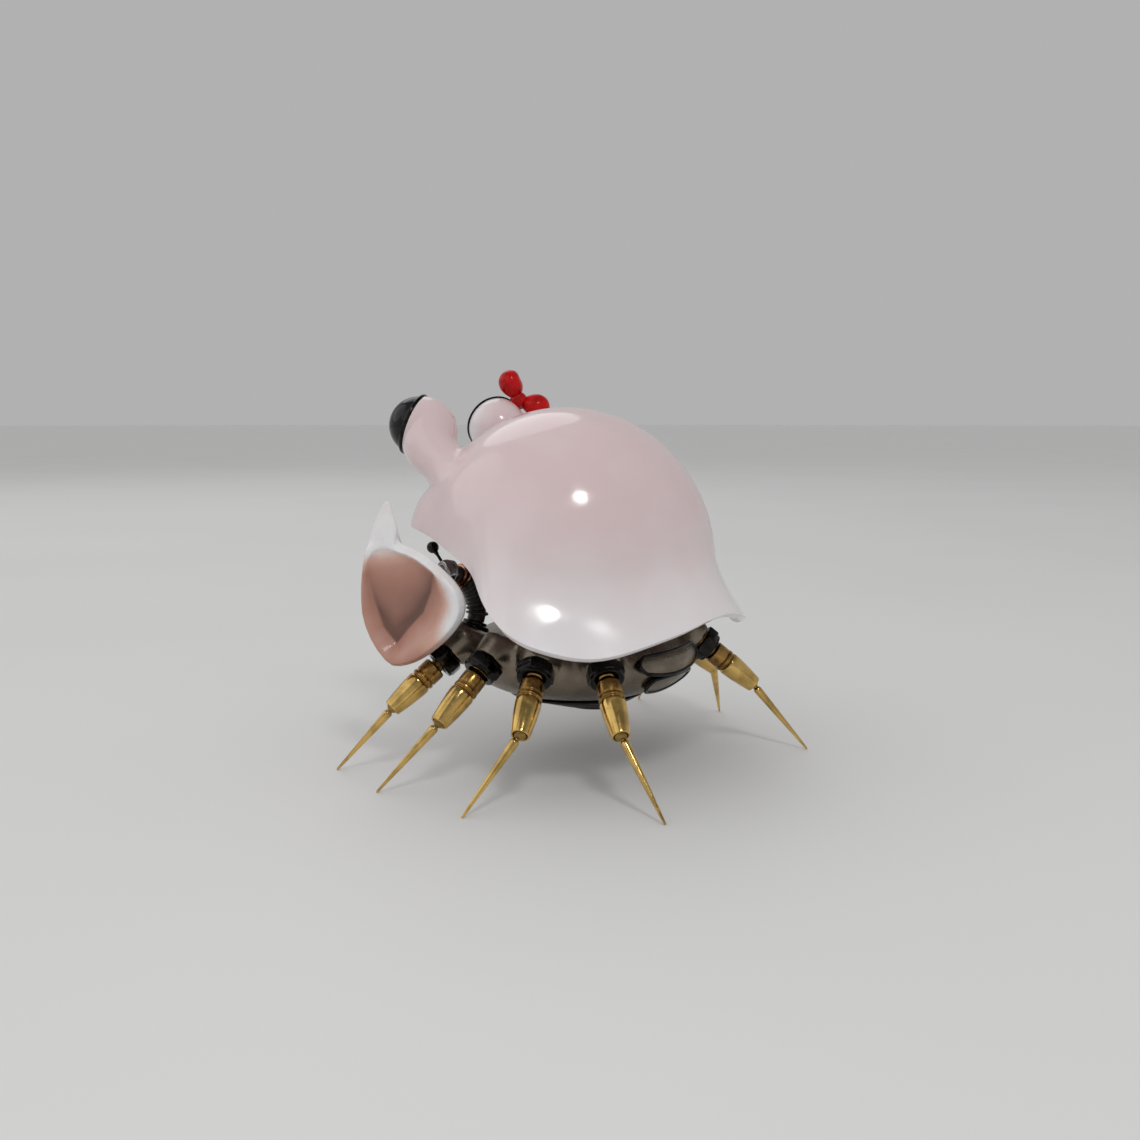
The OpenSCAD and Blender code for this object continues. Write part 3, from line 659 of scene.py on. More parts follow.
class CRAB_OT_shell(bpy.types.Operator):
    """Dome with its wavy skirt and its two eye stalks, as one porcelain casting"""
    bl_idname = "crab.shell"
    bl_label = "Porcelain shell"
    rings, around = 22, 96

    def execute(self, context):
        s, e = in_mm(context.scene.crab_shell), in_mm(context.scene.crab_eyes)
        shell = turned("porcelain_shell", arc(1, 180, 90, self.rings), self.around)

        def on_skin(co):
            u = math.acos(max(-1, min(1, co.z / MM))) / (math.pi / 2)
            return shell_point(s, math.degrees(math.atan2(co.y, co.x)), u) * MM

        moved(shell, on_skin)
        tidy_mesh(shell)
        core = self.core(shell, s)
        apply(shell, "SOLIDIFY", thickness=s.wall * MM, offset=-1, use_even_offset=True,
              edge_crease_outer=0.72, edge_crease_inner=0.5)
        subdivided(shell, 2)
        stalks = [self.stalk(s, e, side) for side in SIDES]
        for stalk in stalks:
            combined(stalk, core, "DIFFERENCE")
        skins = [skin_of(piece) for piece in [shell] + stalks]
        for stalk in stalks:
            combined(shell, stalk, "UNION")
        tidy_mesh(shell, 0.12)
        self.fillets(shell, skins, context.scene.crab_shell.fillet)
        removed(stalks + [core])
        shade(shell, 60)
        dressed(shell, shell_glaze, "frame", "porcelain", "carapace")
        return {"FINISHED"}

    def core(self, skin, s):
        """The space inside the middle of the wall, as a solid down to a flat floor."""
        core = copy_of(skin, "core")
        share = 1 - s.wall / 2 / s.dome_r
        centre = Vector((s.centre_x, 0, s.dome_level)) * MM
        moved(core, lambda co: centre + (co - centre) * share)
        with editing(core):
            select_rims()
            bpy.ops.mesh.extrude_region_move(TRANSFORM_OT_translate={"value": (0, 0, -s.rim_low * MM)})
            bpy.ops.transform.resize(value=(1, 1, 0), center_override=(0, 0, 0))
            bpy.ops.mesh.fill_holes(sides=0)
        tidy_mesh(core)
        return core

    def stalk(self, s, e, side):
        """A horn from inside the wall to the flat seat of the eye."""
        foot = shell_point(s, *STALK_FOOT) - Vector((0, 0, s.wall / 2))
        head = Vector((e.head_x, e.head_y, e.head_z))
        middle = (foot + head) / 2 + Vector((1.2, 0.5, -0.5))
        path = [foot - (middle - foot) * 0.75, foot, middle,
                head - EYE_LOOK * e.head_r * 0.32, head + EYE_LOOK * e.seat]
        radii = [e.waist_r * 1.15, e.waist_r, (e.waist_r + e.head_r) / 2, e.head_r * 0.985, e.head_r * 0.993]
        across = on_side(side, (head - foot).cross(EYE_LOOK))
        places, steps = [], 20
        for k in range(steps + 1):
            t = k / steps
            way = smooth_way(path, min(1, t + 0.01)) - smooth_way(path, max(0, t - 0.01))
            way = way.normalized().lerp(EYE_LOOK, max(0, 2 * t - 1) ** 1.2)
            place = axes_at(on_side(side, smooth_way(path, t)) * MM, on_side(side, way), across)
            places.append(ring_at(place, smooth_way(radii, t)))
        stalk = swept("stalk_" + side, places, 56)
        shade(stalk, 60)
        return stalk

    def fillets(self, shell, skins, reach):
        """Smooth the shell near the lines where its stalks leave it."""
        soften = shell.vertex_groups.new(name="fillet")
        for vertex in shell.data.vertices:
            if vertex.co.z < STALKS_ABOVE or vertex.co.x < STALKS_AHEAD:
                continue
            to_dome, *to_stalks = [skin.find_nearest(vertex.co)[3] for skin in skins]
            share = 1 - max(to_dome, min(to_stalks)) / reach
            if share > 0:
                soften.add([vertex.index], min(1, share * 1.6), "REPLACE")
        apply(shell, "SMOOTH", factor=0.5, iterations=70, vertex_group="fillet")


# Eyes and bow

class CRAB_OT_eyes(bpy.types.Operator):
    """Black glass lenses in dark chrome rings"""
    bl_idname = "crab.eyes"
    bl_label = "Eyes"

    def execute(self, context):
        e = in_mm(context.scene.crab_eyes)
        rim, h = math.sqrt(e.head_r ** 2 - e.seat ** 2), e.ring_h
        lens_r = rim * 0.93
        bore, inner, outer = lens_r * 0.85, lens_r + 0.1, rim + h * 0.2
        bezel = [(bore, 0), (rim, 0), (outer, h * 0.3), (outer + h * 0.05, h * 0.6), (rim, h),
                 (inner + 0.15, h), (inner, h * 0.8), (inner, h * 0.3), (bore, h * 0.3), (bore, 0)]
        base = h * 0.3 + 0.1
        ball = (lens_r ** 2 + e.bulge ** 2) / (2 * e.bulge)
        edge = math.degrees(math.asin(lens_r / ball))
        glass = [(0, base), (lens_r, base)] + arc(ball, 180 - edge, 180, 14, h + 0.1 + e.bulge - ball)
        seat = Vector((e.head_x, e.head_y, e.head_z)) + EYE_LOOK * e.seat
        for side in SIDES:
            place = axes_at(on_side(side, seat) * MM, on_side(side, EYE_LOOK))
            ring = turned("bezel_" + side, bezel, 96)
            crisp(ring, 0.12, turn=25)
            settle(ring, place)
            dressed(ring, black_chrome, "frame", "black_chrome", "eye_ring_" + side)
            lens = turned("lens_" + side, glass, 96)
            shade(lens, 40)
            settle(lens, place)
            dressed(lens, eye_glass, "frame", "eye_glass", "eye_lens_" + side)
        return {"FINISHED"}


class CRAB_OT_bow(bpy.types.Operator):
    """Red enamel bow: two puffed loops with gathers, and a knot on a short stem"""
    bl_idname = "crab.bow"
    bl_label = "Bow"
    azimuth, tilt = 216, 48
    spread = 66
    fullest = 0.6

    def execute(self, context):
        e = in_mm(context.scene.crab_eyes)
        head = Matrix.Translation(on_side("right", (e.head_x, e.head_y, e.head_z)) * MM)
        place = head @ rotated(self.azimuth, "Z") @ rotated(90 - self.tilt, "Y") @ shifted(e.head_r + e.stem)
        loops = []
        for angle in (self.spread, -self.spread):
            loops.append(self.loop(e))
            settle(loops[-1], place @ rotated(angle, "Y"))
        dressed(joined(loops, "bow_loops_piece"), red_enamel, "frame", "red_enamel", "bow_loops")
        knot = self.knot(e)
        settle(knot, place)
        dressed(knot, red_enamel, "frame", "red_enamel", "bow_knot")
        return {"FINISHED"}

    def loop(self, e):
        """A puffed loop along +Z, gathered in three folds and with a dent on one side."""
        profile, steps = [(0, 0)], 20
        for k in range(1, steps):
            t = math.sin(math.pi / 2 * k / steps)
            r = math.sin(math.pi / 2 * min(1, t / self.fullest)) ** 0.85
            if t > self.fullest:
                r = math.sqrt(1 - ((t - self.fullest) / (1 - self.fullest)) ** 2)
            profile.append((e.loop_r * r, e.loop_len * t))
        loop = turned("bow_loop", profile + [(0, e.loop_len)], 40)

        def gathered(co):
            a = math.atan2(co.y, co.x)
            t = max(0, min(1, co.z / (e.loop_len * MM)))
            along = math.sin(math.pi * min(1, t * 1.15)) ** 0.7 * (1 - t)
            fold = 1 - 0.10 * max(0, math.cos(3 * a + 0.6)) * along
            dent = 1 - 0.16 * max(0, math.cos(a)) ** 2 * math.exp(-((t - 0.62) / 0.2) ** 2)
            return Vector((co.x * fold * dent, co.y * fold, co.z))

        moved(loop, gathered)
        subdivided(loop, 1)
        shade(loop, 70)
        return loop

    def knot(self, e):
        """A ball with six soft flutes on the stem."""
        neck = e.knot_r * 0.6
        start = math.degrees(math.asin(neck / e.knot_r))
        knot = turned("bow_knot_piece", [(0, -e.stem - 0.1), (neck, -e.stem - 0.1)]
                      + arc(e.knot_r, start, 180, 16), 40)

        def fluted(co):
            flute = 1 + 0.05 * math.cos(6 * math.atan2(co.y, co.x))
            return Vector((co.x * flute, co.y * flute, co.z))

        moved(knot, fluted)
        crisp(knot, 0.3, 3, 35)
        return knot


# Body

# Lowest and highest latitude, half width and sag of a panel in degrees, on the body's rear
TAIL_PANELS = {"upper": (-6, 19, 25, 4), "lower": (-32, -12, 18, 3)}
# The body's bulb in millimetres: middle, radius, reach up and down, and how far the panels stand off it
BULB_X, BULB_Z, BULB_R, BULB_UP, BULB_DOWN, STAND_OFF = 1.7, 46, 52, 16, 21, 0.9


class CRAB_OT_body(bpy.types.Operator):
    """Polished casting whose bosses blend into its bulb, with belly plates and tail panels"""
    bl_idname = "crab.body"
    bl_label = "Body"

    def execute(self, context):
        body = copy_of(frame["nodes"]["body_housing"], "body_casting")
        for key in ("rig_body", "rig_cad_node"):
            if key in body:
                del body[key]
        body.parent = None
        tidy_mesh(body, 0.001)
        apply(body, "REMESH", mode="VOXEL", voxel_size=1.25 * MM)
        apply(body, "SMOOTH", factor=0.6, iterations=8)
        held = [joint_at(name) for name in JOINTS if name.startswith(("hip", "arm"))]
        blend = body.vertex_groups.new(name="blend")
        for vertex in body.data.vertices:
            away = min((vertex.co - at).length for at in held) / MM
            blend.add([vertex.index], min(1, max(0, (away - 7) / 4)), "REPLACE")
        apply(body, "SMOOTH", factor=0.6, iterations=60, vertex_group="blend")
        subdivided(body, 1)
        apply(body, "DISPLACE", strength=-0.25 * MM, mid_level=0)
        shade(body, 80)
        dressed(body, gunmetal, "frame", "gunmetal", "body_housing")
        for number in range(1, 5):
            self.belly_plate(number)
        for name, sizes in TAIL_PANELS.items():
            self.tail_panel(name, *sizes)
        return {"FINISHED"}

    def belly_plate(self, number):
        name = f"apron_plate_{number}"
        low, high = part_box(name)
        r, h = (high.x - low.x) / 2 / MM, (high.z - low.z) / MM
        bend = [(r - h * 1.6 * (1 - math.cos(math.radians(t))), h * (1 - math.sin(math.radians(t))))
                for t in range(15, 76, 15)]
        plate = turned(f"belly_plate_{number}", [(0, h), (r - 0.3, h)] + bend + [(r - 2 * h, 0), (0, 0)], 96)
        crisp(plate, 0.18)
        settle(plate, Matrix.Translation(((low.x + high.x) / 2, 0, low.z)))
        dressed(plate, black_chrome, "frame", "black_chrome", name)

    def tail_panel(self, name, low, high, half, sag):
        """A curved panel between the rear legs, with a round bead along its outline."""

        def on_tail(x, y):
            """Point of the panel, x across and y up from -1 to 1."""
            a = math.radians(180 - half * x * math.sqrt(1 - 0.28 * y * y))
            up = math.radians((low + high) / 2 + (high - low) / 2 * y * math.sqrt(1 - 0.22 * x * x)
                              - sag * (1 - y) / 2 * (1 - x * x))
            r = (BULB_R + STAND_OFF) * math.cos(up)
            rise = ((BULB_UP if up > 0 else BULB_DOWN) + STAND_OFF) * math.sin(up)
            return Vector((BULB_X + r * math.cos(a), r * math.sin(a), BULB_Z + rise)) * MM

        fresh()
        bpy.ops.mesh.primitive_grid_add(x_subdivisions=40, y_subdivisions=16, size=2 * MM)
        panel = named("tail_panel_" + name)
        moved(panel, lambda co: on_tail(co.x / MM, co.y / MM))
        apply(panel, "SOLIDIFY", thickness=1.3 * MM, offset=1, use_even_offset=True)
        tidy_mesh(panel)
        crisp(panel, 0.25, 3, 40)
        dressed(panel, gunmetal, "frame", "gunmetal", "tail_plate_" + name)
        walk = [k / 12 - 1 for k in range(24)]
        line = [on_tail(*corner) for corner in [(t, -1) for t in walk] + [(1, t) for t in walk]
                + [(-t, 1) for t in walk] + [(-1, -t) for t in walk]]
        count = len(line)
        places = []
        for k in range(count + 1):
            at, way = line[k % count], line[(k + 1) % count] - line[(k - 1) % count]
            places.append(ring_at(axes_at(at, way, at - Vector((0, 0, BULB_Z)) * MM), 0.8))
        bead = swept("tail_bead_" + name, places, 12, capped=False)
        shade(bead, 60)
        dressed(bead, black_chrome, "frame", "black_chrome")


# Legs

def leg_points(side, number):
    """Hip, knee and foot of a leg."""
    foot = Vector(MOUNTS[f"foot_{side}_{number}"]["pos_m"])
    return joint_at(f"hip_{side}_{number}"), joint_at(f"knee_{side}_{number}"), foot


class CRAB_OT_nuts(bpy.types.Operator):
    """Eight black hexagon nuts with round fronts, which hold the hip balls"""
    bl_idname = "crab.nuts"
    bl_label = "Hip nuts"
    back, height, flange = 1.2, 5.2, 1.2

    def execute(self, context):
        nut_r = in_mm(context.scene.crab_legs).nut_w / 2
        fresh()
        bpy.ops.mesh.primitive_cylinder_add(vertices=6, radius=nut_r * MM, depth=self.height * MM,
                                            location=(0, 0, (self.height / 2 - self.back) * MM),
                                            rotation=(0, 0, math.radians(30)))
        nut = named("hip_nut")
        bpy.ops.object.transform_apply(location=True, rotation=True, scale=True)
        with editing(nut):
            bpy.ops.mesh.bevel(offset=0.7 * MM, segments=3, profile=0.5, affect="EDGES")
        r, low, top = nut_r * 0.86, 0.4 - self.back, self.height + self.flange - self.back
        collar = turned("collar", [(0, low), (r, low), (r, top - 0.5), (r - 0.15, top - 0.15), (r - 0.5, top),
                                   (4.9, top), (4.6, top - 0.3), (0, top - 0.3)])
        socket = turned("socket", arc(5.6, 0, 90, 3) + [(5.2, 2.1), (4.6, 3.2), (4.6, 8), (0, 8)], 48)
        combined(nut, collar, "UNION")
        combined(nut, socket, "DIFFERENCE")
        tidy_mesh(nut)
        crisp(nut, 0.14, 2, 34, 48)
        nuts = []
        for leg in LEGS:
            hip, knee, _ = leg_points(*leg)
            nuts.append(copy_of(nut, "nut_%s_%d" % leg))
            settle(nuts[-1], axes_at(hip, knee - hip))
        removed((nut, collar, socket))
        dressed(joined(nuts, "hip_nuts"), black_chrome, "frame", "black_chrome", "hip_collars")
        return {"FINISHED"}


class CRAB_OT_legs(bpy.types.Operator):
    """Eight brass legs, each with a coxa, a tapered barrel and a needle, turned once and copied"""
    bl_idname = "crab.legs"
    bl_label = "Legs"
    coxa_start, coxa_end = 6.7, 15.2

    def execute(self, context):
        g = in_mm(context.scene.crab_legs)
        hip, knee, foot = leg_points("left", 1)
        models = {"coxa": self.coxa(g), "barrel": self.barrel(g, (knee - hip).length / MM),
                  "needle": self.needle(g, (foot - knee) / MM)}
        for leg in LEGS:
            hip, knee, foot = leg_points(*leg)
            name = "leg_%s_%d_" % leg
            for part, model in models.items():
                start, end, body = (knee, foot, "shin") if part == "needle" else (hip, knee, "thigh")
                finish = aged_brass if part == "coxa" else polished_brass
                piece = copy_of(model, f"{name}{part}_piece")
                settle(piece, axes_at(start, end - start))
                dressed(piece, finish, name + body, "brass", name + part)
        removed(models.values())
        return {"FINISHED"}

    def coxa(self, g):
        """Hip ball, neck and a plain dark cylinder with one bright ring before the barrel."""
        start, end, neck = self.coxa_start, self.coxa_end, g.ball_r * 0.55
        front = math.degrees(math.asin(neck / g.ball_r))
        ring, body, groove = g.coxa_r, g.coxa_r - 0.15, g.coxa_r - 0.65
        piece = turned("coxa", arc(g.ball_r, 0, 180 - front, 12) + [
            (neck, start), (groove, start), (body, start + 0.6), (body, end - 2.9), (groove, end - 2.6),
            (groove, end - 2.3), (ring - 0.1, end - 2.1), (ring, end - 1.8), (ring, end - 0.9),
            (ring - 0.1, end - 0.6), (ring - 0.6, end - 0.4), (ring - 0.6, end), (0, end)], 56)
        crisp(piece, 0.14, 2, 28, 45)
        return piece

    def barrel(self, g, thigh):
        """A cone, slightly full, from its thick end to the lip round the knee ball, with painted shade inside
        its mouth.
        """
        start, low, steps = self.coxa_end + 0.1, thigh + g.knee_r * 0.45, 16
        side = [(g.coxa_r - 0.5, start), (g.coxa_r - 0.2, start + 0.25), (g.coxa_r, start + 0.7)]
        for k in range(steps + 1):
            t = k / steps
            r = g.lip_r + (g.barrel_r - g.lip_r) * (1 - t ** 1.5)
            side.append((r, start + 1.2 + (low - start - 1.4) * t))
        piece = turned("barrel", [(0, start)] + side + [
            (g.lip_r - 0.2, low), (g.knee_r + 0.3, low), (g.knee_r + 0.1, low - 0.4),
            (g.knee_r * 0.9, low - 2.2), (g.knee_r * 0.5, low - 3.4), (0, low - 3.9)], 56)
        crisp(piece, 0.12, 2, 28, 45)
        # Painted shade inside the mouth, where the knee ball sits.
        bore, deep = (g.knee_r + 0.15) * MM, (low - 0.25) * MM
        painted(piece, "grease", [float(vertex.co.xy.length < bore and vertex.co.z < deep)
                                  for vertex in piece.data.vertices])
        return piece

    def needle(self, g, reach):
        """Knee ball, darkened with painted shade, and a long taper to a point."""
        tip = reach.length - g.tip_r * reach.length / abs(reach.z)
        neck, full, thin = g.knee_r * 0.42, g.knee_r * 1.45, g.needle_r * 0.97
        stop = 180 - math.degrees(math.asin(neck / g.knee_r))
        shaft = [(neck, g.knee_r * 1.08), (g.needle_r * 0.82, full * 0.84), (g.needle_r * 0.95, full * 0.93),
                 (g.needle_r, full * 1.04), (g.needle_r * 0.99, full * 1.3), (thin, full * 1.6)]
        for k in range(1, 9):
            t = k / 8
            shaft.append((thin * (1 - t) + g.tip_r * t, full * 1.6 + (tip - full * 1.6) * t))
        piece = turned("needle", arc(g.knee_r, 0, stop, 12) + shaft + arc(g.tip_r, 115, 165, 2, tip)
                       + [(0, tip + g.tip_r)], 40)
        shade(piece, 50)
        # Painted shade on the knee ball and its neck, inside the barrel's lip.
        away = [vertex.co.length / MM / g.knee_r / 1.12 for vertex in piece.data.vertices]
        painted(piece, "grease", [min(1, max(0, 1.6 - 1.1 * far)) if far < 1.4 else 0.0 for far in away])
        return piece


# Arms

class CRAB_OT_arms(bpy.types.Operator):
    """Ribbed hoses from their sockets, with copper rings and chrome wrist caps"""
    bl_idname = "crab.arms"
    bl_label = "Arms"
    boss_r, foot_r = 6.6, 2.85

    def execute(self, context):
        c = in_mm(context.scene.crab_claws)
        step = c.sweep / (c.ribs + 2)
        for side in SIDES:
            foot, wrist = joint_at("arm_swing_" + side), joint_at("claw_tilt_" + side)
            place = axes_at(foot, JOINTS["arm_swing_" + side]["axis"], wrist - foot)

            def curve(angle):
                """Place on the arm's curve at an angle from its start, with +Z along the curve."""
                sin, cos = math.sin(angle), math.cos(angle)
                at = Vector((c.bend_r * (1 - cos), 0, c.socket_h + c.bend_r * sin)) * MM
                return place @ axes_at(at, (sin, 0, cos), (cos, 0, -sin))

            def rings(number, profile):
                """Rings of a rib or band. Its profile has shares of a step along the curve, and radii."""
                return [ring_at(curve(step * (number + share)), radius) for share, radius in profile]

            base, body = self.base(side), "arm_" + side
            settle(base, place)
            dressed(base, black_chrome, "frame", "black_chrome", "arm_socket_" + side)
            hose = self.hose(c, place, curve, rings, side)
            dressed(hose, dark_hose, body, "dark_hose", "arm_hose_" + side)
            edge = c.core_r + 0.1
            band = ((0.2, edge), (0.2, c.rib_r * 0.94), (0.26, c.rib_r * 1.03), (0.425, c.rib_r * 1.04),
                    (0.59, c.rib_r * 1.03), (0.65, c.rib_r * 0.94), (0.65, edge), (0.2, edge))
            bands = [swept("copper_ring", rings(number, band), 48, capped=False)
                     for number in (c.ribs - 1, c.ribs)]
            for ring in bands:
                shade(ring, 50)
            dressed(joined(bands, "copper_rings_" + side), copper, body, "copper", "arm_rings_" + side)
            cap = self.cap(c, side)
            settle(cap, curve(c.sweep))
            dressed(cap, chrome, body, "chrome", "wrist_cap_" + side)
        return {"FINISHED"}

    def base(self, side):
        """Stepped socket on the body, round the foot of the hose."""
        wide, narrow, bore = self.boss_r, self.boss_r * 0.8, self.foot_r + 0.1
        base = turned("arm_base_" + side, [
            (bore, 0.1), (wide, 0.1), (wide, 1.3), (wide - 0.3, 1.6), (narrow, 1.75), (narrow, 2.9),
            (narrow - 0.3, 3.2), (bore, 3.2), (bore, 0.1)])
        crisp(base, 0.2, smooth=50)
        return base

    def hose(self, c, place, curve, rings, side):
        """Core with round ribs, and a plain end that the copper rings sit on."""
        places = [ring_at(place, self.foot_r, along) for along in (0.25, c.socket_h - 0.3)]
        places.append(ring_at(curve(0), c.core_r))
        root, flank, crest = c.core_r + 0.15, c.rib_r - 0.35, c.rib_r - 0.05
        rib = ((0.02, c.core_r), (0.12, root), (0.2, flank), (0.3, crest), (0.425, c.rib_r), (0.55, crest),
               (0.65, flank), (0.73, root), (0.83, c.core_r))
        for number in range(1, c.ribs - 1):
            places += rings(number, rib)
        last = c.sweep * (c.ribs - 1) / (c.ribs + 2)
        places += [ring_at(curve(last + (c.sweep - last) * k / 6), c.core_r) for k in range(7)]
        hose = swept("ribbed_hose_" + side, places, 40)
        shade(hose, 60)
        return hose

    def cap(self, c, side):
        """Domed cap with a groove, open in front for the claw's ball stud."""
        r, front = c.core_r + 1.7, 1.2 + c.stud_r * 1.55
        cap = turned("wrist_" + side, [
            (0, 0.1), (r - 0.3, 0.1), (r, 0.4), (r, 1.0), (r - 0.25, 1.15), (r - 0.25, 1.4), (r, 1.55),
            (r, front * 0.6), (r * 0.95, front * 0.78), (r * 0.8, front), (2.9, front), (2.7, front - 0.3),
            (2.9, 4.0), (2.5, 2.4), (0, 1.1)])
        crisp(cap, 0.15, smooth=50)
        return cap


# Claws

# Outlines as shares of half the width and of the height, from the cup's middle. None is the spike's tip.
CLAW_LOW = ((-0.133, 0.4), (-0.45, 0.318), (-0.8, 0.195), (-0.98, 0.085), (-1.02, -0.02), (-0.93, -0.125),
            (-0.73, -0.238), (-0.435, -0.358), (-0.1, -0.46), (0.196, -0.51), (0.44, -0.515), (0.76, -0.365),
            (0.965, -0.171))
CLAW_HIGH = ((1.01, 0.047), (0.98, 0.243), (0.865, 0.455), (0.735, 0.625), (0.45, None), (0.35, 0.686),
             (0.27, 0.555), (0.3, 0.455))
CLAW_RIM = ((1.01, 0.047), (0.97, 0.243), (0.85, 0.375), (0.71, 0.435), (0.56, 0.462), (0.45, 0.47),
            (0.36, 0.466), (0.29, 0.45))
# The two creases where the pocket's side walls meet its back wall, down to the valley where they meet
CREASE_LEFT = ((0.58, 0.62), (0.64, 0.422), (0.792, 0.294), (0.80, 0.14), (0.749, -0.006), (0.616, -0.218),
               (0.40, -0.334))
CREASE_RIGHT = ((-0.44, 0.62), (-0.427, 0.294), (-0.40, 0.2), (-0.335, 0.085), (-0.149, -0.077),
                (0.145, -0.207), (0.40, -0.334))
# Depth of the back wall in millimetres: its change over half the width and over the height, and its middle
BACK_WALL = (-1.07, -7.5, 4.1)
# How round the side walls start at the mouth
CREASE_SOFT = 0.02
# Depth of the rim's outer roll, and length of the stud from its ball's centre, in millimetres
CLAW_LIP = 3.4
STUD_LEN = 9.4


def softened(points):
    """Two new points on each side of a closed outline, a quarter in from its corners."""
    return [a.lerp(b, t) for a, b in zip(points, points[1:] + points[:1]) for t in (0.25, 0.75)]


def finder(line):
    """A tree of points along a line, 0.1 mm apart, for the distance to it."""
    points = [line[-1]]
    for a, b in zip(line, line[1:]):
        steps = max(1, round((b - a).length / 0.1))
        points += [a.lerp(b, k / steps) for k in range(steps)]
    tree = KDTree(len(points))
    for index, point in enumerate(points):
        tree.insert(point.to_3d(), index)
    tree.balance()
    return tree


def within(p, outline):
    """Whether a point lies inside a closed outline."""
    inside = False
    for a, b in zip(outline, outline[1:] + outline[:1]):
        if (a.y > p.y) != (b.y > p.y) and p.x < a.x + (b.x - a.x) * (p.y - a.y) / (b.y - a.y):
            inside = not inside
    return inside


def clamped(share):
    return min(1, max(0, share))


def lesser(one, other, soft):
    """The lesser of two numbers, rounded over where they are within soft of each other."""
    share = max(0, soft - abs(one - other)) / soft
    return min(one, other) - share ** 2 * soft / 4


class CRAB_OT_claws(bpy.types.Operator):
    """Two porcelain claws, each a folded pocket with a spike, on a chrome ball stud"""
    bl_idname = "crab.claws"
    bl_label = "Claws"

    def execute(self, context):
        c = in_mm(context.scene.crab_claws)
        stud_at = Vector((-0.075 * c.width, -c.depth - c.wall * 0.75 - STUD_LEN, 0.195 * c.height)) * MM
        x, up = -Vector(JOINTS["claw_tilt_left"]["axis"]), Vector((0, 0, 1))
        place = Matrix((x, up.cross(x), up)).transposed().to_4x4()
        place = Matrix.Translation(joint_at("claw_tilt_left")) @ place @ Matrix.Translation(-stud_at)
        stud_place = place @ Matrix.Translation(stud_at) @ rotated(-90, "X")
        models = {"claw": self.claw(c), "stud": self.stud(c)}
        for side in SIDES:
            claw = copy_of(models["claw"], "porcelain_claw_" + side)
            stud = copy_of(models["stud"], "ball_stud_" + side)
            settle(claw, place)
            settle(stud, stud_place)
            if side == "right":
                for piece in (claw, stud):
                    settle(piece, Matrix.Diagonal((1, -1, 1, 1)))
                    turn_outwards(piece)
            dressed(claw, claw_glaze, "claw_" + side, "blush_porcelain", "claw_" + side)
            dressed(stud, chrome, "claw_" + side, "chrome", "claw_stud_" + side)
        removed(models.values())
        return {"FINISHED"}

    def stud(self, c):
        """Ball, neck and a round flange against the claw."""
        end = STUD_LEN
        stud = turned("stud", arc(c.stud_r, 0, 144, 12) + [
            (1.5, 2.7), (1.5, end - 1.9), (1.8, end - 1.65), (4.4, end - 1.6), (4.6, end - 1.4), (4.6, end),
            (0, end)], 48)
        crisp(stud, 0.12, 2, 35, 50)
        return stud

    def claw(self, c):
        """The claw, facing +Y. Its rings run from the pocket's bottom over the rim and round the back."""
        half, tall = c.width / 2, c.height

        def sized(shares):
            return [Vector((x * half, c.spike if z is None else z * tall)) for x, z in shares]

        outline, rim = softened(sized(CLAW_HIGH + CLAW_LOW)), softened(sized(CLAW_RIM + CLAW_LOW))
        mouth = [edge * 0.8 for edge in rim]
        deep = Vector((0.33 * half, -0.26 * tall))
        back = c.depth + c.wall

        def power(edge):
            """How steeply the pocket falls from a point of its mouth, more so towards its three folds."""
            a = math.atan2(*(edge - deep).yx)
            folds = ((72, 30, 2), (120, 16, 1.8), (280, 8, 1.2))
            return 1.15 + sum(more * max(0, math.cos(a - math.radians(at))) ** sharp
                              for at, sharp, more in folds)

        rings = [[(deep, -c.depth)] * len(rim)]
        for s in (0.12, 0.26, 0.42, 0.58, 0.74, 0.88, 1):
            rings.append([(deep.lerp(edge, s), -c.depth * (1 - s ** power(edge))) for edge in mouth])
        for t in (0.3, 0.6, 0.85, 1):
            rings.append([(edge.lerp(outer, t), -CLAW_LIP * (1 - math.cos(math.pi / 2 * t)))
                          for edge, outer in zip(mouth, outline)])
        for s in (0.93, 0.82, 0.66, 0.45, 0.22):
            rings.append([(edge * s + (outer - edge) * s ** 8, -CLAW_LIP - (back - CLAW_LIP) * (1 - s ** 3.2))
                          for edge, outer in zip(rim, outline)])
        rings.append([(Vector((0, 0)), -back)] * len(rim))
        rings = [[Vector((at.x, y, at.y)) * MM for at, y in ring] for ring in rings]
        piece = lofted("claw_model", rings, capped=False)
        subdivided(piece, 3)
        pinks_and_shade = self.folded(piece, half, tall, outline, rim, [sized(CREASE_LEFT), sized(CREASE_RIGHT)])
        shade(piece, 80)
        # The share holds the real pink glaze and painted shade in the pocket's depths and creases.
        painted(piece, "blush", pinks_and_shade)
        return piece

    def folded(self, piece, half, tall, outline, rim, creases):
        """Press the pocket into three walls that meet in two creases. Gives each vertex's share of pink, with
        painted shade that raises it deeper in the pocket and near the creases, so those go darker.
        """
        fold = creases[0] + creases[1][::-1]
        edges, rims, folds = finder(outline + outline[:1]), finder(rim + rim[:1]), finder(fold)
        skin = skin_of(piece)

        def back(p):
            return max(0.2, BACK_WALL[0] * p.x / half + BACK_WALL[1] * p.y / tall + BACK_WALL[2])

        def pressed(p):
            """Roll of the rim at a point, depth of the pocket, and way to a crease, negative on the back."""
            slope = 1.8 + clamped((p.y / tall + 0.1) / 0.3)
            roll = CLAW_LIP * (1 - math.sin(math.pi / 2 * min(1, edges.find(p.to_3d())[2] / slope)))
            inside = rims.find(p.to_3d())[2] - slope if within(p, rim) else 0
            at, _, gap = folds.find(p.to_3d())
            gap *= -1 if within(p, fold) else 1
            if inside <= 0:
                return roll, 0, gap
            share, low = inside / max(0.05, inside + gap), math.sqrt(CREASE_SOFT)
            wall = back(at) * (math.sqrt(share ** 2 + CREASE_SOFT) - low) / (math.sqrt(1 + CREASE_SOFT) - low)
            return roll, max(0, lesser(lesser(back(p), wall, 0.5), inside * 1.1, 0.8)), gap

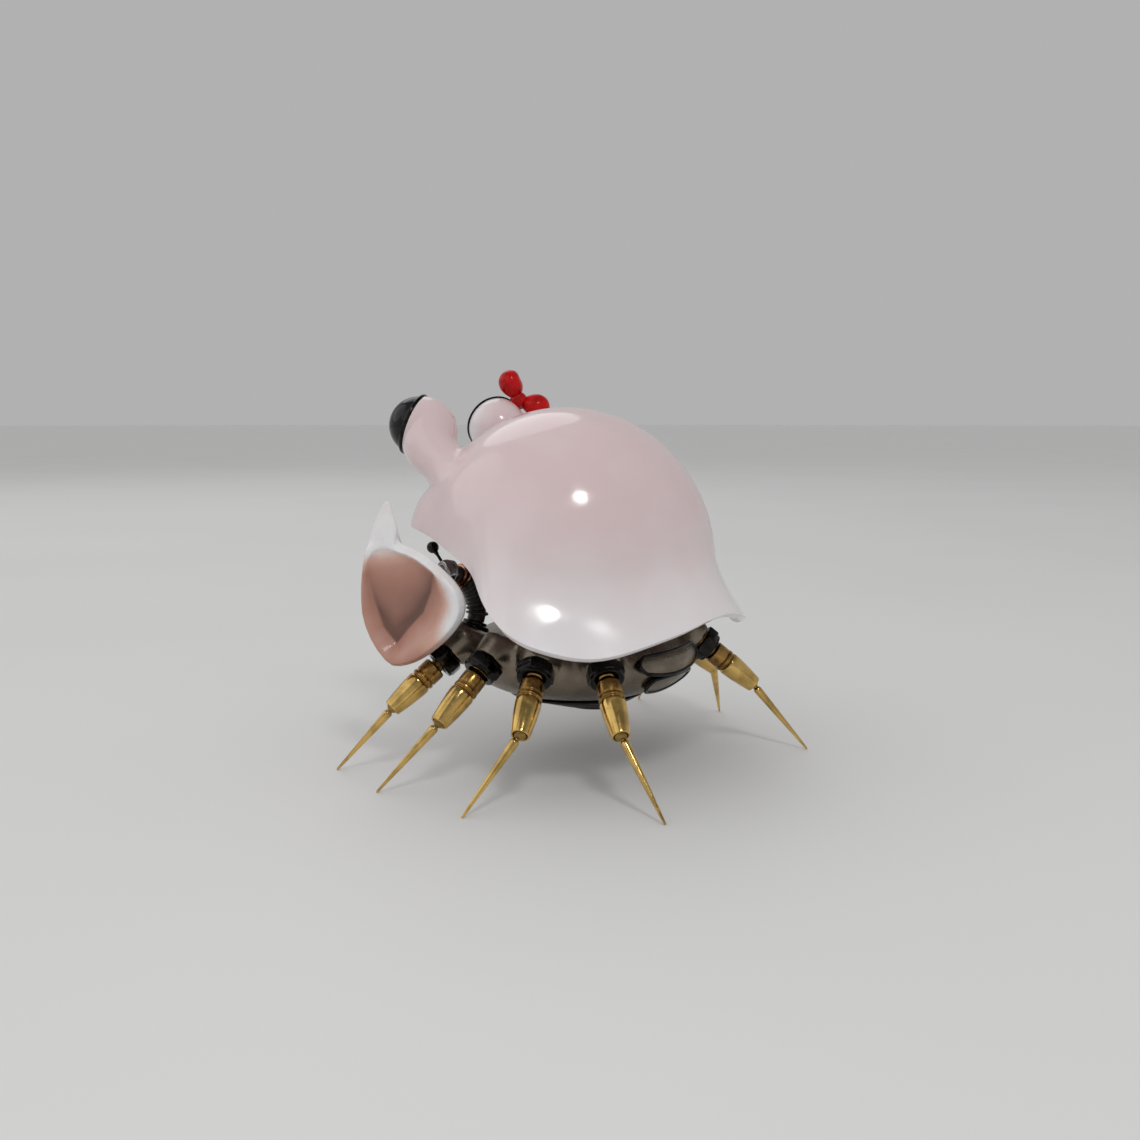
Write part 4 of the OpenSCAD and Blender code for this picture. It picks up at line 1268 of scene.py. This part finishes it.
        pinks_and_shade, pressed_to = [], {}
        for vertex in piece.data.vertices:
            co = vertex.co / MM
            p = Vector((co.x, co.z))
            x, up = co.x / half, co.z / tall
            share = clamped((0.46 - up) / 0.09)
            if vertex.normal.y < 0.02 or not share or not within(p, outline):
                low = clamped((0.12 - up) / 0.3) * clamped((x + 0.5) / 0.6)
                pinks_and_shade.append(0.3 * low if vertex.normal.y < 0.3 and up < 0.4 else 0.0)
                continue
            roll, depth, gap = pressed(p)
            hit = skin.ray_cast(Vector((vertex.co.x, -0.05, vertex.co.z)), Vector((0, 1, 0)))[0]
            if hit and depth:
                depth = lesser(depth, max(0, -hit.y / MM - 1.5 - roll), 0.6)
            share = share ** 2 * (3 - 2 * share)
            pressed_to[vertex.index] = -(roll + depth) * MM * share + vertex.co.y * (1 - share)
            rim_pink = 0.6 * clamped((x - 1.2 * up + 0.6) / 0.9) * clamped((0.36 - up) / 0.16)
            # Painted shade: the share rises near the creases and with depth, darkening the pocket where shade
            # falls.
            wall_pink_and_shade = 0.72 - 0.028 * abs(gap)
            back_pink_and_shade = 0.32 + 0.11 * depth + 0.30 * math.exp(-abs(gap) / 3.5) * min(1, depth / 4)
            on_back = clamped(0.5 - gap / 1.4)
            deep_pink_and_shade = back_pink_and_shade * on_back + wall_pink_and_shade * (1 - on_back)
            mixing = min(1, depth / 1.9)
            pinks_and_shade.append(min(1, (rim_pink * (1 - mixing) + deep_pink_and_shade * mixing) * share))
        for index, y in pressed_to.items():
            piece.data.vertices[index].co.y = y
        piece.data.update()
        return pinks_and_shade


# Small parts

class CRAB_OT_feelers(bpy.types.Operator):
    """Black beads on thin stems beside the mouth"""
    bl_idname = "crab.feelers"
    bl_label = "Feelers"
    bead_r = 2.8

    def execute(self, context):
        for side in SIDES:
            low, high = [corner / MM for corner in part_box("feeler_" + side)]
            inner, outer = (low.y, high.y)[::sign_of(side)]
            r = self.bead_r
            bead = Vector((high.x - r, outer - r * sign_of(side), high.z - r))
            foot = Vector((low.x + 0.5, inner + 0.5 * sign_of(side), low.z + 0.3))
            end = (bead - foot).length
            piece = turned("feeler_piece_" + side, [
                (0, 0), (0.7, 0.1), (0.7, end - 4.2), (0.95, end - 3.6), (1.0, end - 2.9)]
                + arc(r, 24, 180, 13, end), 40)
            crisp(piece, 0.1, turn=35)
            settle(piece, axes_at(foot * MM, bead - foot))
            dressed(piece, black_chrome, "frame", "black_chrome", "feeler_" + side)
        return {"FINISHED"}


class CRAB_OT_inside(bpy.types.Operator):
    """Finishes of the deck, its screws, the post and the pad inside the shell"""
    bl_idname = "crab.inside"
    bl_label = "Inside parts"

    def execute(self, context):
        for name, finish in (("top_deck", gunmetal), ("shell_post", gunmetal), ("deck_screws", black_chrome),
                             ("crown_pad", rubber)):
            piece = frame["nodes"][name]
            if not piece.data.materials:
                piece.data.materials.append(kept(finish))
            for slot in piece.material_slots:
                slot.material = kept(finish)
        return {"FINISHED"}


# Stage

# Place and width in metres, and power in watts
LAMPS = {
    "key": ((-0.55, 0.45, 0.95), 0.20, 2.0),
    "side": ((0.50, 1.90, 1.70), 2.00, 5.3),
    "back": ((1.50, -1.10, 1.90), 1.60, 6.3),
    "front": ((1.90, 0.75, 1.40), 2.00, 5.4),
}
LAMPS_LOOK_AT = Vector((0, 0, 0.09))
CAMERA_AT = (-0.2936, 0.4120, 0.14715)
CAMERA_LOOK = Vector((0.5825, -0.8026, -0.1288))


class CRAB_OT_stage(bpy.types.Operator):
    """Pale floor, soft round lamps, pale surroundings and the camera"""
    bl_idname = "crab.stage"
    bl_label = "Stage"

    def execute(self, context):
        self.floor()
        self.surroundings(context.scene)
        for name, (at, size, power) in LAMPS.items():
            fresh()
            bpy.ops.object.light_add(type="AREA", location=at)
            lamp = named("lamp_" + name)
            lamp.data.shape, lamp.data.size, lamp.data.energy = "DISK", size, power
            self.point(lamp, LAMPS_LOOK_AT - Vector(at))
        fresh()
        bpy.ops.object.camera_add(location=CAMERA_AT)
        camera = context.scene.camera = bpy.context.object
        camera.data.lens, camera.data.sensor_width = 36.63, 36
        self.point(camera, CAMERA_LOOK)
        context.scene.view_settings.view_transform = "Standard"
        return {"FINISHED"}

    def point(self, thing, way):
        thing.rotation_euler = way.to_track_quat("-Z", "Y").to_euler()

    def floor(self):
        fresh()
        bpy.ops.mesh.primitive_circle_add(vertices=96, radius=30, fill_type="NGON")
        floor = named("floor")
        material, tree, shader, where = started("pale_floor", 0, 0.6)
        cloud = ranged(tree, noise(tree, where, 300, 2), 0.3, 0.7, 0, 1)
        paper = mixed(tree, cloud, colours().paper, shades(colours().paper, 0.98))
        feed(tree, shader.inputs["Base Color"], paper)
        floor.data.materials.append(material)

    def surroundings(self, scene):
        """A pale world that lights evenly, and is seen darker, from the horizon up to the zenith."""
        world = scene.world = scene.world or bpy.data.worlds.new("surroundings")
        world.use_nodes = True
        tree = world.node_tree
        ground = tree.nodes["Background"]
        ground.inputs["Color"].default_value = (0.88, 0.88, 0.88, 1)
        way = node(tree, "ShaderNodeTexCoord").outputs["Generated"]
        height = node(tree, "ShaderNodeSeparateXYZ", {0: way}).outputs["Z"]
        seen_at = ranged(tree, height, 0.3, 0.8, 0.50, 0.24)
        path = node(tree, "ShaderNodeLightPath").outputs
        seen = worked(tree, "MAXIMUM", path["Is Camera Ray"], path["Is Glossy Ray"])
        seen = worked(tree, "MAXIMUM", seen, path["Is Transmission Ray"])
        mix = node(tree, "ShaderNodeMix", {"Factor": seen, "A": 0.7, "B": seen_at}, data_type="FLOAT")
        feed(tree, ground.inputs["Strength"], mix.outputs["Result"])


# Add-on

class CRAB_PT_panel(bpy.types.Panel):
    """Lists the pieces in the order in which they are made"""
    bl_idname = "CRAB_PT_panel"
    bl_label = "Mechanical crab"
    bl_space_type = "VIEW_3D"
    bl_region_type = "UI"
    bl_category = "Crab"

    def draw(self, context):
        for piece in PIECES:
            self.layout.operator(piece.bl_idname)
        for name, group in GROUPS.items():
            box = self.layout.box()
            for key in group.__annotations__:
                box.prop(getattr(context.scene, name), key)


GROUPS = {"crab_shell": ShellSizes, "crab_eyes": EyeSizes, "crab_legs": LegSizes, "crab_claws": ClawSizes,
          "crab_colours": CrabColours}
PIECES = (CRAB_OT_shell, CRAB_OT_eyes, CRAB_OT_bow, CRAB_OT_body, CRAB_OT_nuts, CRAB_OT_legs, CRAB_OT_arms,
          CRAB_OT_claws, CRAB_OT_feelers, CRAB_OT_inside, CRAB_OT_stage)


def register():
    for name, group in GROUPS.items():
        bpy.utils.register_class(group)
        setattr(bpy.types.Scene, name, PointerProperty(type=group))
    for made in PIECES + (CRAB_PT_panel,):
        bpy.utils.register_class(made)


def unregister():
    for made in reversed(PIECES + (CRAB_PT_panel,)):
        bpy.utils.unregister_class(made)
    for name, group in GROUPS.items():
        delattr(bpy.types.Scene, name)
        bpy.utils.unregister_class(group)


def main():
    register()
    for piece in PIECES:
        family, name = piece.bl_idname.split(".")
        getattr(getattr(bpy.ops, family), name)()
    fresh()


if __name__ == "__main__":
    main()
